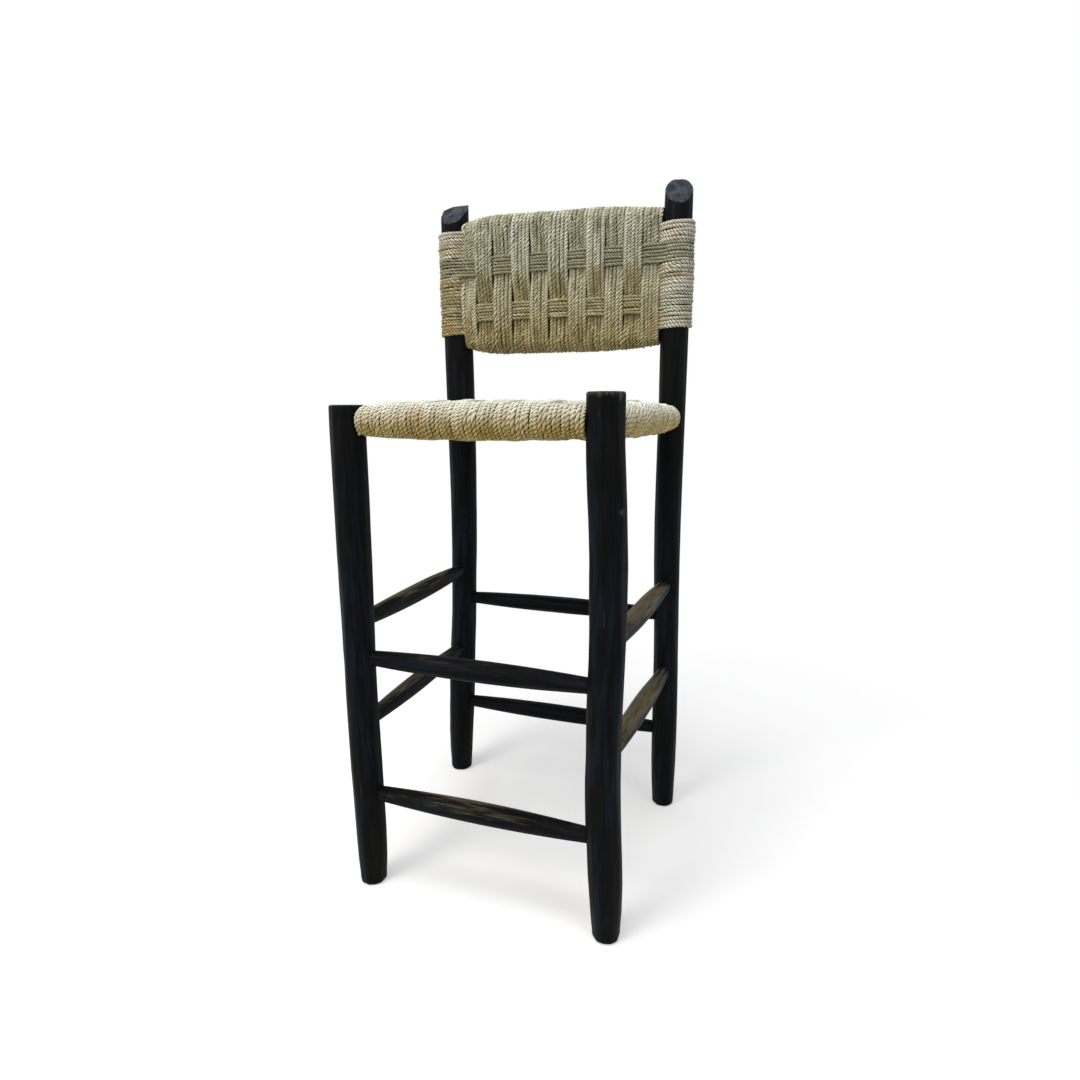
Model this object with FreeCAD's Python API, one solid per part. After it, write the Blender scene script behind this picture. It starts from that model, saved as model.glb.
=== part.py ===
import FreeCAD, Part

import math
import os
from functools import cache

from FreeCAD import Vector

# A hand-hewn bar stool: four round posts, eight rungs, and a seat and a back woven from cord.
# Millimetres. X runs to the right as seen from the front, Y to the back and Z up.

# Heights, from the floor up to the seat rails and from there up the back
seat_rail_height = 711.0
left_leg_over_rail = 22.0
right_leg_over_rail = 35.0
back_bottom_rail_rise = 142.0
back_rail_spacing = 189.0
left_post_over_rail = 49.0
right_post_over_rail = 64.0
back_bottom_rail_tilt = 5.0
back_top_rail_tilt = 9.0

# Places of the posts, at the floor, at the seat rails and at the top of the back
front_foot_x = 187.5
front_foot_y = -184.5
front_seat_x = 185.0
front_seat_y = -193.0
back_foot_x = 206.0
back_foot_y = 184.5
back_seat_x = 197.0
back_seat_y = 194.5
back_top_x = 202.0
back_top_y = 196.0

# Posts: each shape lists a share of the height, a sway to the right, and what to add to the diameter
post_diameter = 48.0
front_left_shape = (
    (0.0, 2.0, -10.0),
    (0.1, 2.0, -2.0),
    (0.34, -0.7, -2.0),
    (0.58, -1.0, -1.0),
    (0.82, 0.4, 1.0),
    (1.0, 0.0, 1.5),
)
front_right_shape = (
    (0.0, 2.0, -10.0),
    (0.1, 1.4, -1.5),
    (0.34, -3.4, -0.5),
    (0.58, 1.8, 0.0),
    (0.82, 0.4, 1.0),
    (1.0, -2.0, -0.5),
)
back_left_shape = (
    (0.0, -6.0, -8.0),
    (0.07, -5.5, 0.0),
    (0.27, 0.7, 1.0),
    (0.45, 3.6, 0.5),
    (0.6, 0.9, 3.0),
    (0.76, -1.0, 4.0),
    (1.0, -1.0, -1.0),
)
back_right_shape = (
    (0.0, -1.0, -11.0),
    (0.07, -1.0, -4.5),
    (0.27, 0.2, -5.0),
    (0.45, -1.2, -3.0),
    (0.6, 1.5, -3.0),
    (0.76, 1.7, -2.0),
    (1.0, 0.0, -5.0),
)
foot_round = 5.0
leg_top_round = 2.0

# The slanting cut on top of each back post: its slope, how far its upper edge lies behind the middle, and how
# far it is turned to the left
post_cut_slope = 1.1
left_post_setback = 10.0
right_post_setback = 20.0
left_cut_turn = 0.0
right_cut_turn = math.radians(12)

# The left post's top falls away to its left: places right of the middle, drops there, and slopes
left_post_shoulders = (
    (24.0, 0.0, 0.11),
    (-4.0, 3.1, 0.38),
)

# Rungs: heights of their axes, from the floor or from the footrest, and their diameters
footrest_height = 368.0
side_upper_over_footrest = 52.0
side_lower_under_footrest = 107.0
back_upper_under_footrest = 5.0
front_lower_height = 151.0
back_lower_under_front = 4.0
rung_middle_diameter = 31.0
rung_end_diameter = 22.0

# Rails: four under the seat, two inside the woven back
seat_rail_middle_diameter = 37.0
seat_rail_end_diameter = 29.0
seat_cross_tenon_diameter = 20.0
seat_side_tenon_diameter = 18.0
back_rail_middle_diameter = 38.0
back_rail_end_diameter = 21.0
back_tenon_diameter = 16.0

# Joints: round tenons in blind bores
tenon_depth = 30.0
bore_end_gap = 1.0
fit_gap = 0.1
shoulder_gap = 0.5
mitre_gap = 0.4

# Cord, the clear gaps that it keeps beside itself, on wood and where it crosses, and its seam's start
cord_diameter = 4.8
lay_gap = 0.45
rest_gap = 0.3
cross_gap = 0.4
seam_lead = math.radians(40)

# Weave: bands, the turns and the waves of the bands that cross them, and where those run on the back
seat_warp_bands = 11
seat_weft_bands = 4
back_band_shares = (28.0, 34.0, 36.0, 34.0, 33.0, 36.0, 32.0, 31.0, 32.0, 30.0, 31.0)
weft_turns = 6
weft_rise = 1.5
back_lower_weft_rise = 45.0
back_upper_weft_drop = 65.0

# Worked out
left_leg_height = seat_rail_height + left_leg_over_rail
right_leg_height = seat_rail_height + right_leg_over_rail
bottom_rail_left_height = seat_rail_height + back_bottom_rail_rise
bottom_rail_right_height = bottom_rail_left_height - back_bottom_rail_tilt
top_rail_left_height = bottom_rail_left_height + back_rail_spacing
top_rail_right_height = top_rail_left_height - back_top_rail_tilt
left_post_height = top_rail_left_height + left_post_over_rail
right_post_height = top_rail_right_height + right_post_over_rail
stool_height = max(left_post_height, right_post_height)
side_upper_height = footrest_height + side_upper_over_footrest
side_lower_height = footrest_height - side_lower_under_footrest
back_upper_height = footrest_height - back_upper_under_footrest
back_lower_height = front_lower_height - back_lower_under_front
cord_radius = cord_diameter / 2
cord_pitch = cord_diameter + lay_gap
band_passage = 1.5 * cord_diameter
warp_rise = cord_diameter + cross_gap - weft_rise
right = Vector(1, 0, 0)
back = Vector(0, 1, 0)
up = Vector(0, 0, 1)
quarter_turn = math.pi / 2

parts = {}
posts = {}
bores = {}
whole = FreeCAD.BoundBox()


def between(start, finish, share):
    return start + (finish - start) * share


def unit(vector):
    return vector / vector.Length


def cut_away(solid, tools):
    return solid.cut(tools).Solids[0]


def hump(share):
    """A share of the way that rises from 0 at both ends to 1 in the middle."""
    return max(0.0, 4 * share * (1 - share))


class Bar:
    """A round bar, with its radius at both ends, and its swelling and its bow in the middle."""

    def __init__(self, start, finish, start_radius, finish_radius, swell, bow):
        self.start = start
        self.finish = finish
        self.start_radius = start_radius
        self.finish_radius = finish_radius
        self.swell = swell
        self.bow = bow
        self.length = (finish - start).Length

    def at(self, share):
        return between(self.start, self.finish, share) + self.bow * hump(share)

    def cord_circle(self, share):
        """Radius of the centre line of a cord that lies on the bar."""
        radius = between(self.start_radius, self.finish_radius, share) + self.swell * hump(share)
        return radius + rest_gap + cord_radius


# Posts

def front_centre(side, height):
    foot = Vector(side * front_foot_x, front_foot_y, 0)
    seat = Vector(side * front_seat_x, front_seat_y, seat_rail_height)
    return between(foot, seat, height / seat_rail_height)


def back_centre(side, height):
    foot = Vector(side * back_foot_x, back_foot_y, 0)
    seat = Vector(side * back_seat_x, back_seat_y, seat_rail_height)
    top = Vector(side * back_top_x, back_top_y, stool_height)
    if height < seat_rail_height:
        return between(foot, seat, height / seat_rail_height)
    return between(seat, top, (height - seat_rail_height) / (stool_height - seat_rail_height))


def round_rim(solid, height, radius):
    """Round the flat rim of a post at a height."""
    rim = []
    for edge in solid.Edges:
        lowest = edge.BoundBox.ZMin
        highest = edge.BoundBox.ZMax
        if abs(lowest - height) < fit_gap and abs(highest - height) < fit_gap:
            rim.append(edge)
    return solid.makeFillet(radius, rim).Solids[0]


def make_post(name, centre, side, height, shape):
    circles = []
    for share, sway, extra in shape:
        middle = centre(side, share * height) + right * sway
        circle = Part.makeCircle((post_diameter + extra) / 2, middle)
        circles.append(Part.Wire([circle]))
    posts[name] = round_rim(Part.makeLoft(circles, True), 0, foot_round)
    bores[name] = []


@cache
def ring_at(post, height):
    """Centre and radius of a post at a height."""
    box = posts[post].slice(up, height)[0].optimalBoundingBox(False)
    return box.Center, box.XLength / 2


def block_beyond(point, normal):
    """A block with one face on the plane through the point, reaching along the normal."""
    size = 2 * post_diameter
    block = Part.makeBox(2 * size, 2 * size, size, Vector(-size, -size, 0))
    block.Placement = FreeCAD.Placement(point, FreeCAD.Rotation(up, normal))
    return block


def make_posts():
    make_post("front_left_leg", front_centre, -1, left_leg_height, front_left_shape)
    make_post("front_right_leg", front_centre, 1, right_leg_height, front_right_shape)
    make_post("back_left_post", back_centre, -1, left_post_height, back_left_shape)
    make_post("back_right_post", back_centre, 1, right_post_height, back_right_shape)


def finish_posts():
    """Cut the bores and the slanting tops, and round the tops of the front legs."""
    cuts = (
        ("back_left_post", -1, left_post_height, left_post_setback, left_cut_turn),
        ("back_right_post", 1, right_post_height, right_post_setback, right_cut_turn),
    )
    for name, side, height, setback, turn in cuts:
        uphill = back * math.cos(turn) - right * math.sin(turn)
        edge = back_centre(side, height) + uphill * setback
        bores[name].append(block_beyond(edge, up - uphill * post_cut_slope))
    for place, drop, slope in left_post_shoulders:
        edge = back_centre(-1, left_post_height) + right * place - up * drop
        bores["back_left_post"].append(block_beyond(edge, up - right * slope))
    for name, tools in bores.items():
        parts[name] = cut_away(posts[name], tools)
    for name, height in (("front_left_leg", left_leg_height), ("front_right_leg", right_leg_height)):
        parts[name] = round_rim(parts[name], height, leg_top_round)
    for name in posts:
        whole.add(parts[name].optimalBoundingBox(False))


# Rungs and rails

def spindle(tenon_start, body_start, body_finish, tenon_finish, diameters):
    """A round bar along X, with a tenon at each end and a body that swells to its middle."""
    tenon_radius, end_radius, middle_radius = [diameter / 2 for diameter in diameters]
    start = Vector(body_start, 0, end_radius)
    middle = Vector((body_start + body_finish) / 2, 0, middle_radius)
    finish = Vector(body_finish, 0, end_radius)
    corners = [
        finish,
        Vector(body_finish, 0, tenon_radius),
        Vector(tenon_finish, 0, tenon_radius),
        Vector(tenon_finish, 0, 0),
        Vector(tenon_start, 0, 0),
        Vector(tenon_start, 0, tenon_radius),
        Vector(body_start, 0, tenon_radius),
        start,
    ]
    edges = [Part.Arc(start, middle, finish).toShape()]
    for here, there in zip(corners, corners[1:]):
        if here != there:
            edges.append(Part.makeLine(here, there))
    return Part.Face(Part.Wire(edges)).revolve(Vector(0, 0, 0), right, 360)


def make_bar(name, first, first_height, second, second_height, diameters):
    """Tenon a bar into two posts, bore both posts for it, and return its body."""
    tenon_diameter, end_diameter, middle_diameter = diameters
    first_centre, first_radius = ring_at(first, first_height)
    second_centre, second_radius = ring_at(second, second_height)
    line = second_centre - first_centre
    body_start = first_radius + shoulder_gap
    body_finish = line.Length - second_radius - shoulder_gap
    tenon_start = first_radius - tenon_depth
    tenon_finish = line.Length - second_radius + tenon_depth
    place = FreeCAD.Placement(first_centre, FreeCAD.Rotation(right, line))
    parts[name] = spindle(tenon_start, body_start, body_finish, tenon_finish, diameters)
    parts[name].Placement = place

    bore_radius = tenon_diameter / 2 + fit_gap
    bore_length = bore_end_gap + tenon_depth + bore_radius
    first_bottom = Vector(tenon_start - bore_end_gap, 0, 0)
    second_bottom = Vector(tenon_finish + bore_end_gap, 0, 0)
    for post, bottom, outward in ((first, first_bottom, right), (second, second_bottom, -right)):
        bore = Part.makeCylinder(bore_radius, bore_length, bottom, outward)
        bore.Placement = place
        bores[post].append(bore)

    toward = unit(line)
    swell = (middle_diameter - end_diameter) / 2
    start = first_centre + toward * body_start
    finish = first_centre + toward * body_finish
    return Bar(start, finish, end_diameter / 2, end_diameter / 2, swell, Vector())


def make_rungs():
    diameters = (rung_end_diameter, rung_end_diameter, rung_middle_diameter)
    rungs = (
        ("footrest_rung", "front_left_leg", "front_right_leg", footrest_height),
        ("front_lower_rung", "front_left_leg", "front_right_leg", front_lower_height),
        ("back_upper_rung", "back_left_post", "back_right_post", back_upper_height),
        ("back_lower_rung", "back_left_post", "back_right_post", back_lower_height),
        ("left_upper_rung", "front_left_leg", "back_left_post", side_upper_height),
        ("left_lower_rung", "front_left_leg", "back_left_post", side_lower_height),
        ("right_upper_rung", "front_right_leg", "back_right_post", side_upper_height),
        ("right_lower_rung", "front_right_leg", "back_right_post", side_lower_height),
    )
    for name, first, second, height in rungs:
        make_bar(name, first, height, second, height, diameters)


def make_seat_rails():
    places = (
        ("seat_front_rail", "front_left_leg", "front_right_leg", seat_cross_tenon_diameter),
        ("seat_back_rail", "back_left_post", "back_right_post", seat_cross_tenon_diameter),
        ("seat_left_rail", "front_left_leg", "back_left_post", seat_side_tenon_diameter),
        ("seat_right_rail", "front_right_leg", "back_right_post", seat_side_tenon_diameter),
    )
    rails = {}
    for name, first, second, tenon_diameter in places:
        diameters = (tenon_diameter, seat_rail_end_diameter, seat_rail_middle_diameter)
        rails[name] = make_bar(name, first, seat_rail_height, second, seat_rail_height, diameters)
    corners = (
        ("front_left_leg", "seat_front_rail", "seat_left_rail"),
        ("front_right_leg", "seat_front_rail", "seat_right_rail"),
        ("back_left_post", "seat_back_rail", "seat_left_rail"),
        ("back_right_post", "seat_back_rail", "seat_right_rail"),
    )
    for post, first, second in corners:
        mitre_tenons(post, first, rails[first], second, rails[second])
    return rails


def mitre_tenons(post, first, first_rail, second, second_rail):
    """Cut the tenons of two rails that meet in one post, on the line that halves their corner."""
    corner = ring_at(post, seat_rail_height)[0]
    first_way = unit(first_rail.at(0.5) - corner)
    second_way = unit(second_rail.at(0.5) - corner)
    normal = unit(second_way - first_way)
    clear = normal * mitre_gap / 2
    parts[first] = cut_away(parts[first], [block_beyond(corner - clear, normal)])
    parts[second] = cut_away(parts[second], [block_beyond(corner + clear, -normal)])


def make_back_rails():
    diameters = (back_tenon_diameter, back_rail_end_diameter, back_rail_middle_diameter)
    bottom = make_bar("back_bottom_rail", "back_left_post", bottom_rail_left_height,
                      "back_right_post", bottom_rail_right_height, diameters)
    top = make_bar("back_top_rail", "back_left_post", top_rail_left_height,
                   "back_right_post", top_rail_right_height, diameters)
    return bottom, top


# Cord tubes: a route is a list of knots, each a point and the direction of the cord there

def knot(route, place):
    step = 0.001
    return route(place), unit(route(place + step) - route(place - step))


def arc_edge(start, direction, finish):
    """The arc, or line, that leaves start in the given direction and ends at finish."""
    chord = finish - start
    normal = direction.cross(unit(chord))
    if normal.Length < 1e-6:
        return Part.makeLine(start, finish)
    inward = unit(normal.cross(direction))
    radius = chord.Length ** 2 / (2 * inward.dot(chord))
    centre = start + inward * radius
    bisector = unit((start + finish) / 2 - centre)
    if direction.dot(chord) < 0:
        bisector = -bisector
    return Part.Arc(start, centre + bisector * radius, finish).toShape()


def biarc_edges(first, second):
    """Two tangent arcs from one knot to the next."""
    start, leaving = first
    finish, arriving = second
    chord = finish - start
    spread = 2 * (1 - leaving.dot(arriving))
    pull = chord.dot(leaving + arriving)
    square = chord.dot(chord)
    if spread < 1e-9:
        reach = square / (2 * pull)
    else:
        reach = (math.sqrt(pull * pull + spread * square) - pull) / spread
    before = start + leaving * reach
    after = finish - arriving * reach
    joint = (before + after) / 2
    return [arc_edge(start, leaving, joint), arc_edge(joint, unit(after - before), finish)]


def least_gap(edges):
    """The least clear distance between stretches of one tube, measured on points along it."""
    step = cord_diameter / 4
    points = []
    for edge in edges:
        points += edge.discretize(Distance=step)[1:]
    apart = 4 * cord_diameter / step
    cell_size = 2 * cord_diameter
    near = (-1, 0, 1)
    least = cell_size
    cells = {}
    for number, point in enumerate(points):
        x, y, z = [int(side // cell_size) for side in point]
        for cell in [(x + i, y + j, z + k) for i in near for j in near for k in near]:
            for other, place in cells.get(cell, ()):
                if number - other > apart:
                    least = min(least, point.distanceToPoint(place))
        cells.setdefault((x, y, z), []).append((number, point))
    return least - cord_diameter


def cord_tube(name, knots):
    """Sweep one unbroken cord along its knots, with a straight end one cord diameter long at each end.

    The seam of the tube creeps round it from turn to turn, so it begins short of the side of the first bend
    and never comes near the inner side of a bend.
    """
    start, leaving = knots[0]
    finish, arriving = knots[-1]
    first_end = start - leaving * cord_diameter
    last_end = finish + arriving * cord_diameter
    route = [(first_end, leaving)] + knots + [(last_end, arriving)]
    edges = []
    for first, second in zip(route, route[1:]):
        edges += biarc_edges(first, second)
    wire = Part.Wire(edges)
    circle = Part.Circle(first_end, leaving, cord_radius)
    side = unit(leaving.cross(knots[1][1]))
    circle.XAxis = side * math.cos(seam_lead) + leaving.cross(side) * math.sin(seam_lead)
    tube = wire.makePipeShell([Part.Wire([circle.toShape()])], True, False)
    box = wire.BoundBox
    box.enlarge(cord_radius)
    whole.add(box)
    section_volume = math.pi * cord_radius ** 2 * wire.Length
    print(name, "least gap", round(least_gap(edges), 2),
          "volume over section times length", round(tube.Volume / section_volume, 4))
    return tube


def wind_between(name, bar, start, finish, side):
    """Fill a stretch of a bar, between two distances along it, with whole turns of cord."""
    room = finish - start - cord_pitch
    turns = int(room / cord_pitch)
    axis = unit(bar.finish - bar.start)
    outward = unit(right * side - axis * axis.dot(right * side))
    sideways = axis.cross(outward)

    def route(turn):
        share = (start + cord_pitch / 2 + room * turn / turns) / bar.length
        angle = turn * 4 * quarter_turn
        spoke = outward * math.cos(angle) + sideways * math.sin(angle)
        return bar.at(share) + spoke * bar.cord_circle(share)

    return cord_tube(name, [knot(route, quarter / 4) for quarter in range(4 * turns + 1)])


# Weave: cords wound round two pairs of bars, over and under each other on both faces

class Weave:
    """Warp bands wound round the near and far bars, weft bands wound round the left and right bars."""

    def __init__(self, bars, along, out, pillowed, band_shares):
        self.near, self.far, self.left, self.right = bars
        self.along = along
        self.out = out
        self.pillowed = pillowed
        width = min(self.near.length, self.far.length)
        depth = min(self.left.length, self.right.length)
        self.warp_pitch = cord_pitch / width
        self.weft_pitch = cord_pitch / depth
        bands = len(band_shares)
        self.warp_turns = 1 + int((width / bands - band_passage) / cord_pitch)
        self.warp_places = self.places(band_shares, width)
        self.weft_places = []

    def places(self, band_shares, width):
        """Middles of the bands, side by side, as shares of the width."""
        margin = (self.warp_turns * cord_pitch + cord_diameter) / 2 + rest_gap
        steps = [0.0]
        for here, there in zip(band_shares, band_shares[1:]):
            steps.append(steps[-1] + (here + there) / 2)
        room = width - 2 * margin
        return [(margin + room * step / steps[-1]) / width for step in steps]

    def level(self, across_share, along_share):
        """Height of a cord's centre line above the middle of the weave, before it goes over or under."""
        level = self.near.cord_circle(across_share)
        if self.pillowed:
            level = max(level, self.left.cord_circle(along_share))
        return level

    def point(self, across_share, along_share, height):
        """The place where a warp cord and a weft cord cross, at a height above the middle of the weave."""
        weft = between(self.left.at(along_share), self.right.at(along_share), across_share)
        start = self.near.at(across_share)
        line = self.far.at(across_share) - start
        reach = self.along.dot(weft - start) / self.along.dot(line)
        return start + line * reach + self.out * height

    def warp_side(self, band, row):
        """1 where the warp goes over the weft, -1 where it goes under."""
        return 1 if (band + row) % 2 == 0 else -1

    def warp_share(self, band, turn):
        return self.warp_places[band] + (turn - (self.warp_turns - 1) / 2) * self.warp_pitch

    def weft_share(self, row, turn):
        return self.weft_places[row] + (turn - (weft_turns - 1) / 2) * self.weft_pitch

    def warp_run(self, band, turn, face):
        """Knots of one warp run on one face, from the near bar to the far bar."""
        across_share = self.warp_share(band, turn)
        knots = []
        for row in range(len(self.weft_places)):

            def route(weft_turn):
                along_share = self.weft_share(row, weft_turn)
                height = self.level(across_share, along_share) + warp_rise * self.warp_side(band, row)
                return self.point(across_share, along_share, height * face)

            knots += [knot(route, 0), knot(route, weft_turns - 1)]
        return knots

    def weft_run(self, row, turn, face):
        """Knots of one weft run on one face, from the left bar to the right bar."""
        along_share = self.weft_share(row, turn)
        knots = []
        for band in range(len(self.warp_places)):

            def route(warp_turn):
                across_share = self.warp_share(band, warp_turn)
                height = self.level(across_share, along_share) - weft_rise * self.warp_side(band, row)
                return self.point(across_share, along_share, height * face)

            knots += [knot(route, 0), knot(route, self.warp_turns - 1)]
        return knots

    def wrap(self, bar, share_at, turns, outward, first_angle, last_angle):
        """Knots round the outside of a bar, from one face to the other, while the cord moves half a turn on."""
        first_turn, last_turn = turns

        def route(progress):
            share = share_at(between(first_turn, last_turn, progress))
            angle = between(first_angle, last_angle, progress)
            spoke = self.out * math.cos(angle) + outward * math.sin(angle)
            return bar.at(share) + spoke * bar.cord_circle(share)

        steps = round(abs(last_angle - first_angle) / quarter_turn)
        return [knot(route, step / steps) for step in range(steps + 1)]

    def lead(self, bar, share, outward, inner_point):
        """The angle past the face at which a straight cord from an inner point touches the cord circle."""
        offset = inner_point - bar.at(share)
        height = self.out.dot(offset)
        inset = -outward.dot(offset)
        return math.atan2(inset, height) - math.acos(bar.cord_circle(share) / math.hypot(height, inset))

    def band_knots(self, run, near, far, share_at, outward, turns):
        """Knots of a band: up round the near bar, along, down round the far bar and back, turn by turn."""
        knots = []
        for turn in range(turns):
            upper = run(turn, 1)
            near_lead = self.lead(near, share_at(turn), -outward, upper[0][0])
            far_lead = self.lead(far, share_at(turn), outward, upper[-1][0])
            half_turn = 2 * quarter_turn
            knots += self.wrap(near, share_at, (turn - 0.5, turn), -outward, half_turn + near_lead, -near_lead)
            knots += upper
            knots += self.wrap(far, share_at, (turn, turn + 0.5), outward, -far_lead, half_turn + far_lead)
            if turn < turns - 1:
                lower = run(turn + 0.5, -1)
                knots += [(point, -direction) for point, direction in reversed(lower)]
        return knots

    def warp_tube(self, name, band):
        def run(turn, face):
            return self.warp_run(band, turn, face)

        def share_at(turn):
            return self.warp_share(band, turn)

        return cord_tube(name, self.band_knots(run, self.near, self.far, share_at, self.along, self.warp_turns))

    def weft_tube(self, name, row):
        def run(turn, face):
            return self.weft_run(row, turn, face)

        def share_at(turn):
            return self.weft_share(row, turn)

        return cord_tube(name, self.band_knots(run, self.left, self.right, share_at, right, weft_turns))


def make_seat(rails):
    left = rails["seat_left_rail"]
    right_rail = rails["seat_right_rail"]
    bars = (rails["seat_front_rail"], rails["seat_back_rail"], left, right_rail)
    weave = Weave(bars, back, up, True, [1.0] * seat_warp_bands)
    row_share = (weft_turns + 1) * weave.weft_pitch
    gap_share = (1 - seat_weft_bands * row_share) / (seat_weft_bands + 1)
    for row in range(seat_weft_bands):
        weave.weft_places.append((row + 1) * (gap_share + row_share) - row_share / 2)
    for band in range(seat_warp_bands):
        name = "seat_warp_band_%02d" % (band + 1)
        parts[name] = weave.warp_tube(name, band)
    for row in range(seat_weft_bands):
        name = "seat_weft_band_%d" % (row + 1)
        parts[name] = weave.weft_tube(name, row)
    for name, rail, side in (("seat_left_windings", left, -1), ("seat_right_windings", right_rail, 1)):
        tubes = []
        for gap in range(seat_weft_bands + 1):
            start = gap * (gap_share + row_share) * rail.length
            finish = start + gap_share * rail.length
            tubes.append(wind_between(name, rail, start, finish, side))
        parts[name] = Part.makeCompound(tubes)


def post_stretch(post, low, high):
    """The stretch of a post between two heights, as a bar with the post's own swelling and bow."""
    low_centre, low_radius = ring_at(post, low)
    middle_centre, middle_radius = ring_at(post, (low + high) / 2)
    high_centre, high_radius = ring_at(post, high)
    swell = middle_radius - (low_radius + high_radius) / 2
    bow = middle_centre - (low_centre + high_centre) / 2
    return Bar(low_centre, high_centre, low_radius, high_radius, swell, bow)


def beside_windings(rail):
    """The stretch of a back rail that the cord wound on both posts leaves free."""
    share = (cord_diameter + rest_gap) / rail.length
    end_radius = rail.start_radius + rail.swell * hump(share)
    swell = rail.swell * (1 - hump(share))
    return Bar(rail.at(share), rail.at(1 - share), end_radius, end_radius, swell, rail.bow)


def make_back(bottom, top):
    """Weave the back. Its rails slope, but the weft bands are level, so both posts give the same heights."""
    left = post_stretch("back_left_post", bottom_rail_left_height, top_rail_left_height)
    right_post = post_stretch("back_right_post", bottom_rail_left_height, top_rail_left_height)
    bars = (beside_windings(bottom), beside_windings(top), left, right_post)
    weave = Weave(bars, up, -back, False, back_band_shares)
    weave.weft_places.append(back_lower_weft_rise / back_rail_spacing)
    weave.weft_places.append(1 - back_upper_weft_drop / back_rail_spacing)
    for band in range(len(back_band_shares)):
        name = "back_warp_band_%02d" % (band + 1)
        parts[name] = weave.warp_tube(name, band)
    for row, name in enumerate(("back_lower_weft", "back_upper_weft")):
        parts[name] = weave.weft_tube(name, row)

    half_row = (weft_turns + 1) * cord_pitch / 2
    rail_room = back_rail_end_diameter / 2 + rest_gap
    for side_name, post, side, bottom_drop, top_drop in (
        ("left", left, -1, 0.0, 0.0),
        ("right", right_post, 1, back_bottom_rail_tilt, back_top_rail_tilt),
    ):
        lower_row, upper_row = [place * post.length for place in weave.weft_places]
        stretches = (
            ("bottom", rail_room - bottom_drop, lower_row - half_row),
            ("middle", lower_row + half_row, upper_row - half_row),
            ("top", upper_row + half_row, post.length - top_drop - rail_room),
        )
        for place, start, finish in stretches:
            name = "%s_post_%s_winding" % (side_name, place)
            parts[name] = wind_between(name, post, start, finish, side)


make_posts()
make_rungs()
seat_rails = make_seat_rails()
back_bottom_rail, back_top_rail = make_back_rails()
finish_posts()
make_seat(seat_rails)
make_back(back_bottom_rail, back_top_rail)

# The origin is on the floor, in the middle of the stool's box
shift = Vector(-whole.Center.x, -whole.Center.y, 0)
os.makedirs("parts", exist_ok=True)
for name, shape in parts.items():
    shape.translate(shift)
    shape.exportStep("parts/%s.step" % name)
print(len(parts), "pieces in a box of", whole.XLength, whole.YLength, whole.ZLength, "moved by", shift)
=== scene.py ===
# %% [markdown]
# # A hand-made bar stool with a woven seat and back
# Four round posts were hewn by hand and stained black, eight rungs join them, and a two-ply straw cord
# is wound and woven into the seat and the back. The solid model gives every place and size, so this
# lesson only adds what the eye sees: hewn flats, worn edges, twisted cord and a plain studio.

# %% Load the fixed frame
import math
import random
from collections import namedtuple

import bmesh
import bpy
import numpy as np
from mathutils import Matrix, Vector


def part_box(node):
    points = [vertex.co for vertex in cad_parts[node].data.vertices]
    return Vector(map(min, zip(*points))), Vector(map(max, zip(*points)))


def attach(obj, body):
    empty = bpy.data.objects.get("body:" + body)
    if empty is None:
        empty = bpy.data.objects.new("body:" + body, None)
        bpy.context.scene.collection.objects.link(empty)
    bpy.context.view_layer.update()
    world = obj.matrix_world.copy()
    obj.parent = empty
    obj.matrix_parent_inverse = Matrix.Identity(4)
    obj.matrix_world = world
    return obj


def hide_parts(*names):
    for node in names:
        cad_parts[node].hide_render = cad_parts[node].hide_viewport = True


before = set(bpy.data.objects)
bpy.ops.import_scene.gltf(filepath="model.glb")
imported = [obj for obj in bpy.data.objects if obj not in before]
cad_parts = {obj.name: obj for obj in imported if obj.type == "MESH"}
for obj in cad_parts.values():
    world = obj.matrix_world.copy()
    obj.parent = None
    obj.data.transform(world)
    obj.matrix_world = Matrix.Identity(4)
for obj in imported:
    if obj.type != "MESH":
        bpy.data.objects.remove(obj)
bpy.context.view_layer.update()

millimetre = 0.001


def add_object(name, data):
    """Put a mesh, a curve, a camera or a lamp into the scene."""
    thing = bpy.data.objects.new(name, data)
    bpy.context.scene.collection.objects.link(thing)
    return thing


print("frame with", len(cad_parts), "solids")

# %% [markdown]
# ## The camera
# The photograph was taken from a little under the height of the seat's crown, from the front and a bit to
# the right, with a short lens close by, so that the near leg looks larger than the others.
# A camera could be aimed by eye, but here its place, turn and focal length come from fitting straight edges.

# %% Camera
camera_place = Vector((0.4003, -1.0352, 0.7226))
camera_yaw = -0.3434
camera_pitch = 0.181
camera_roll = -0.0048
focal_length_in_pixels = 701.9
picture_width_in_pixels = 1080
sensor_width = 36.0

yaw_turn = Matrix.Rotation(-camera_yaw, 4, "Z")
pitch_turn = Matrix.Rotation(math.pi / 2 - camera_pitch, 4, "X")
roll_turn = Matrix.Rotation(camera_roll, 4, "Z")

camera_data = bpy.data.cameras.new("camera")
camera_data.sensor_width = sensor_width
camera_data.lens = sensor_width * focal_length_in_pixels / picture_width_in_pixels
camera = add_object("camera", camera_data)
camera.matrix_world = Matrix.Translation(camera_place) @ yaw_turn @ pitch_turn @ roll_turn
bpy.context.scene.camera = camera
print("lens", round(camera_data.lens, 2))

# %% [markdown]
# ## Helpers for finishes
# Colours are written as sRGB hex values, as a paint chart gives them, and Blender's sockets take linear
# light, so one function turns the first into the second. Another adds a node, sets it and links it, and a
# third starts a finish.

# %% Finish helpers
def colour(code):
    channels = [int(code[place:place + 2], 16) / 255 for place in (1, 3, 5)]
    linear = [c / 12.92 if c <= 0.04045 else ((c + 0.055) / 1.055) ** 2.4 for c in channels]
    return (*linear, 1.0)


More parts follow.
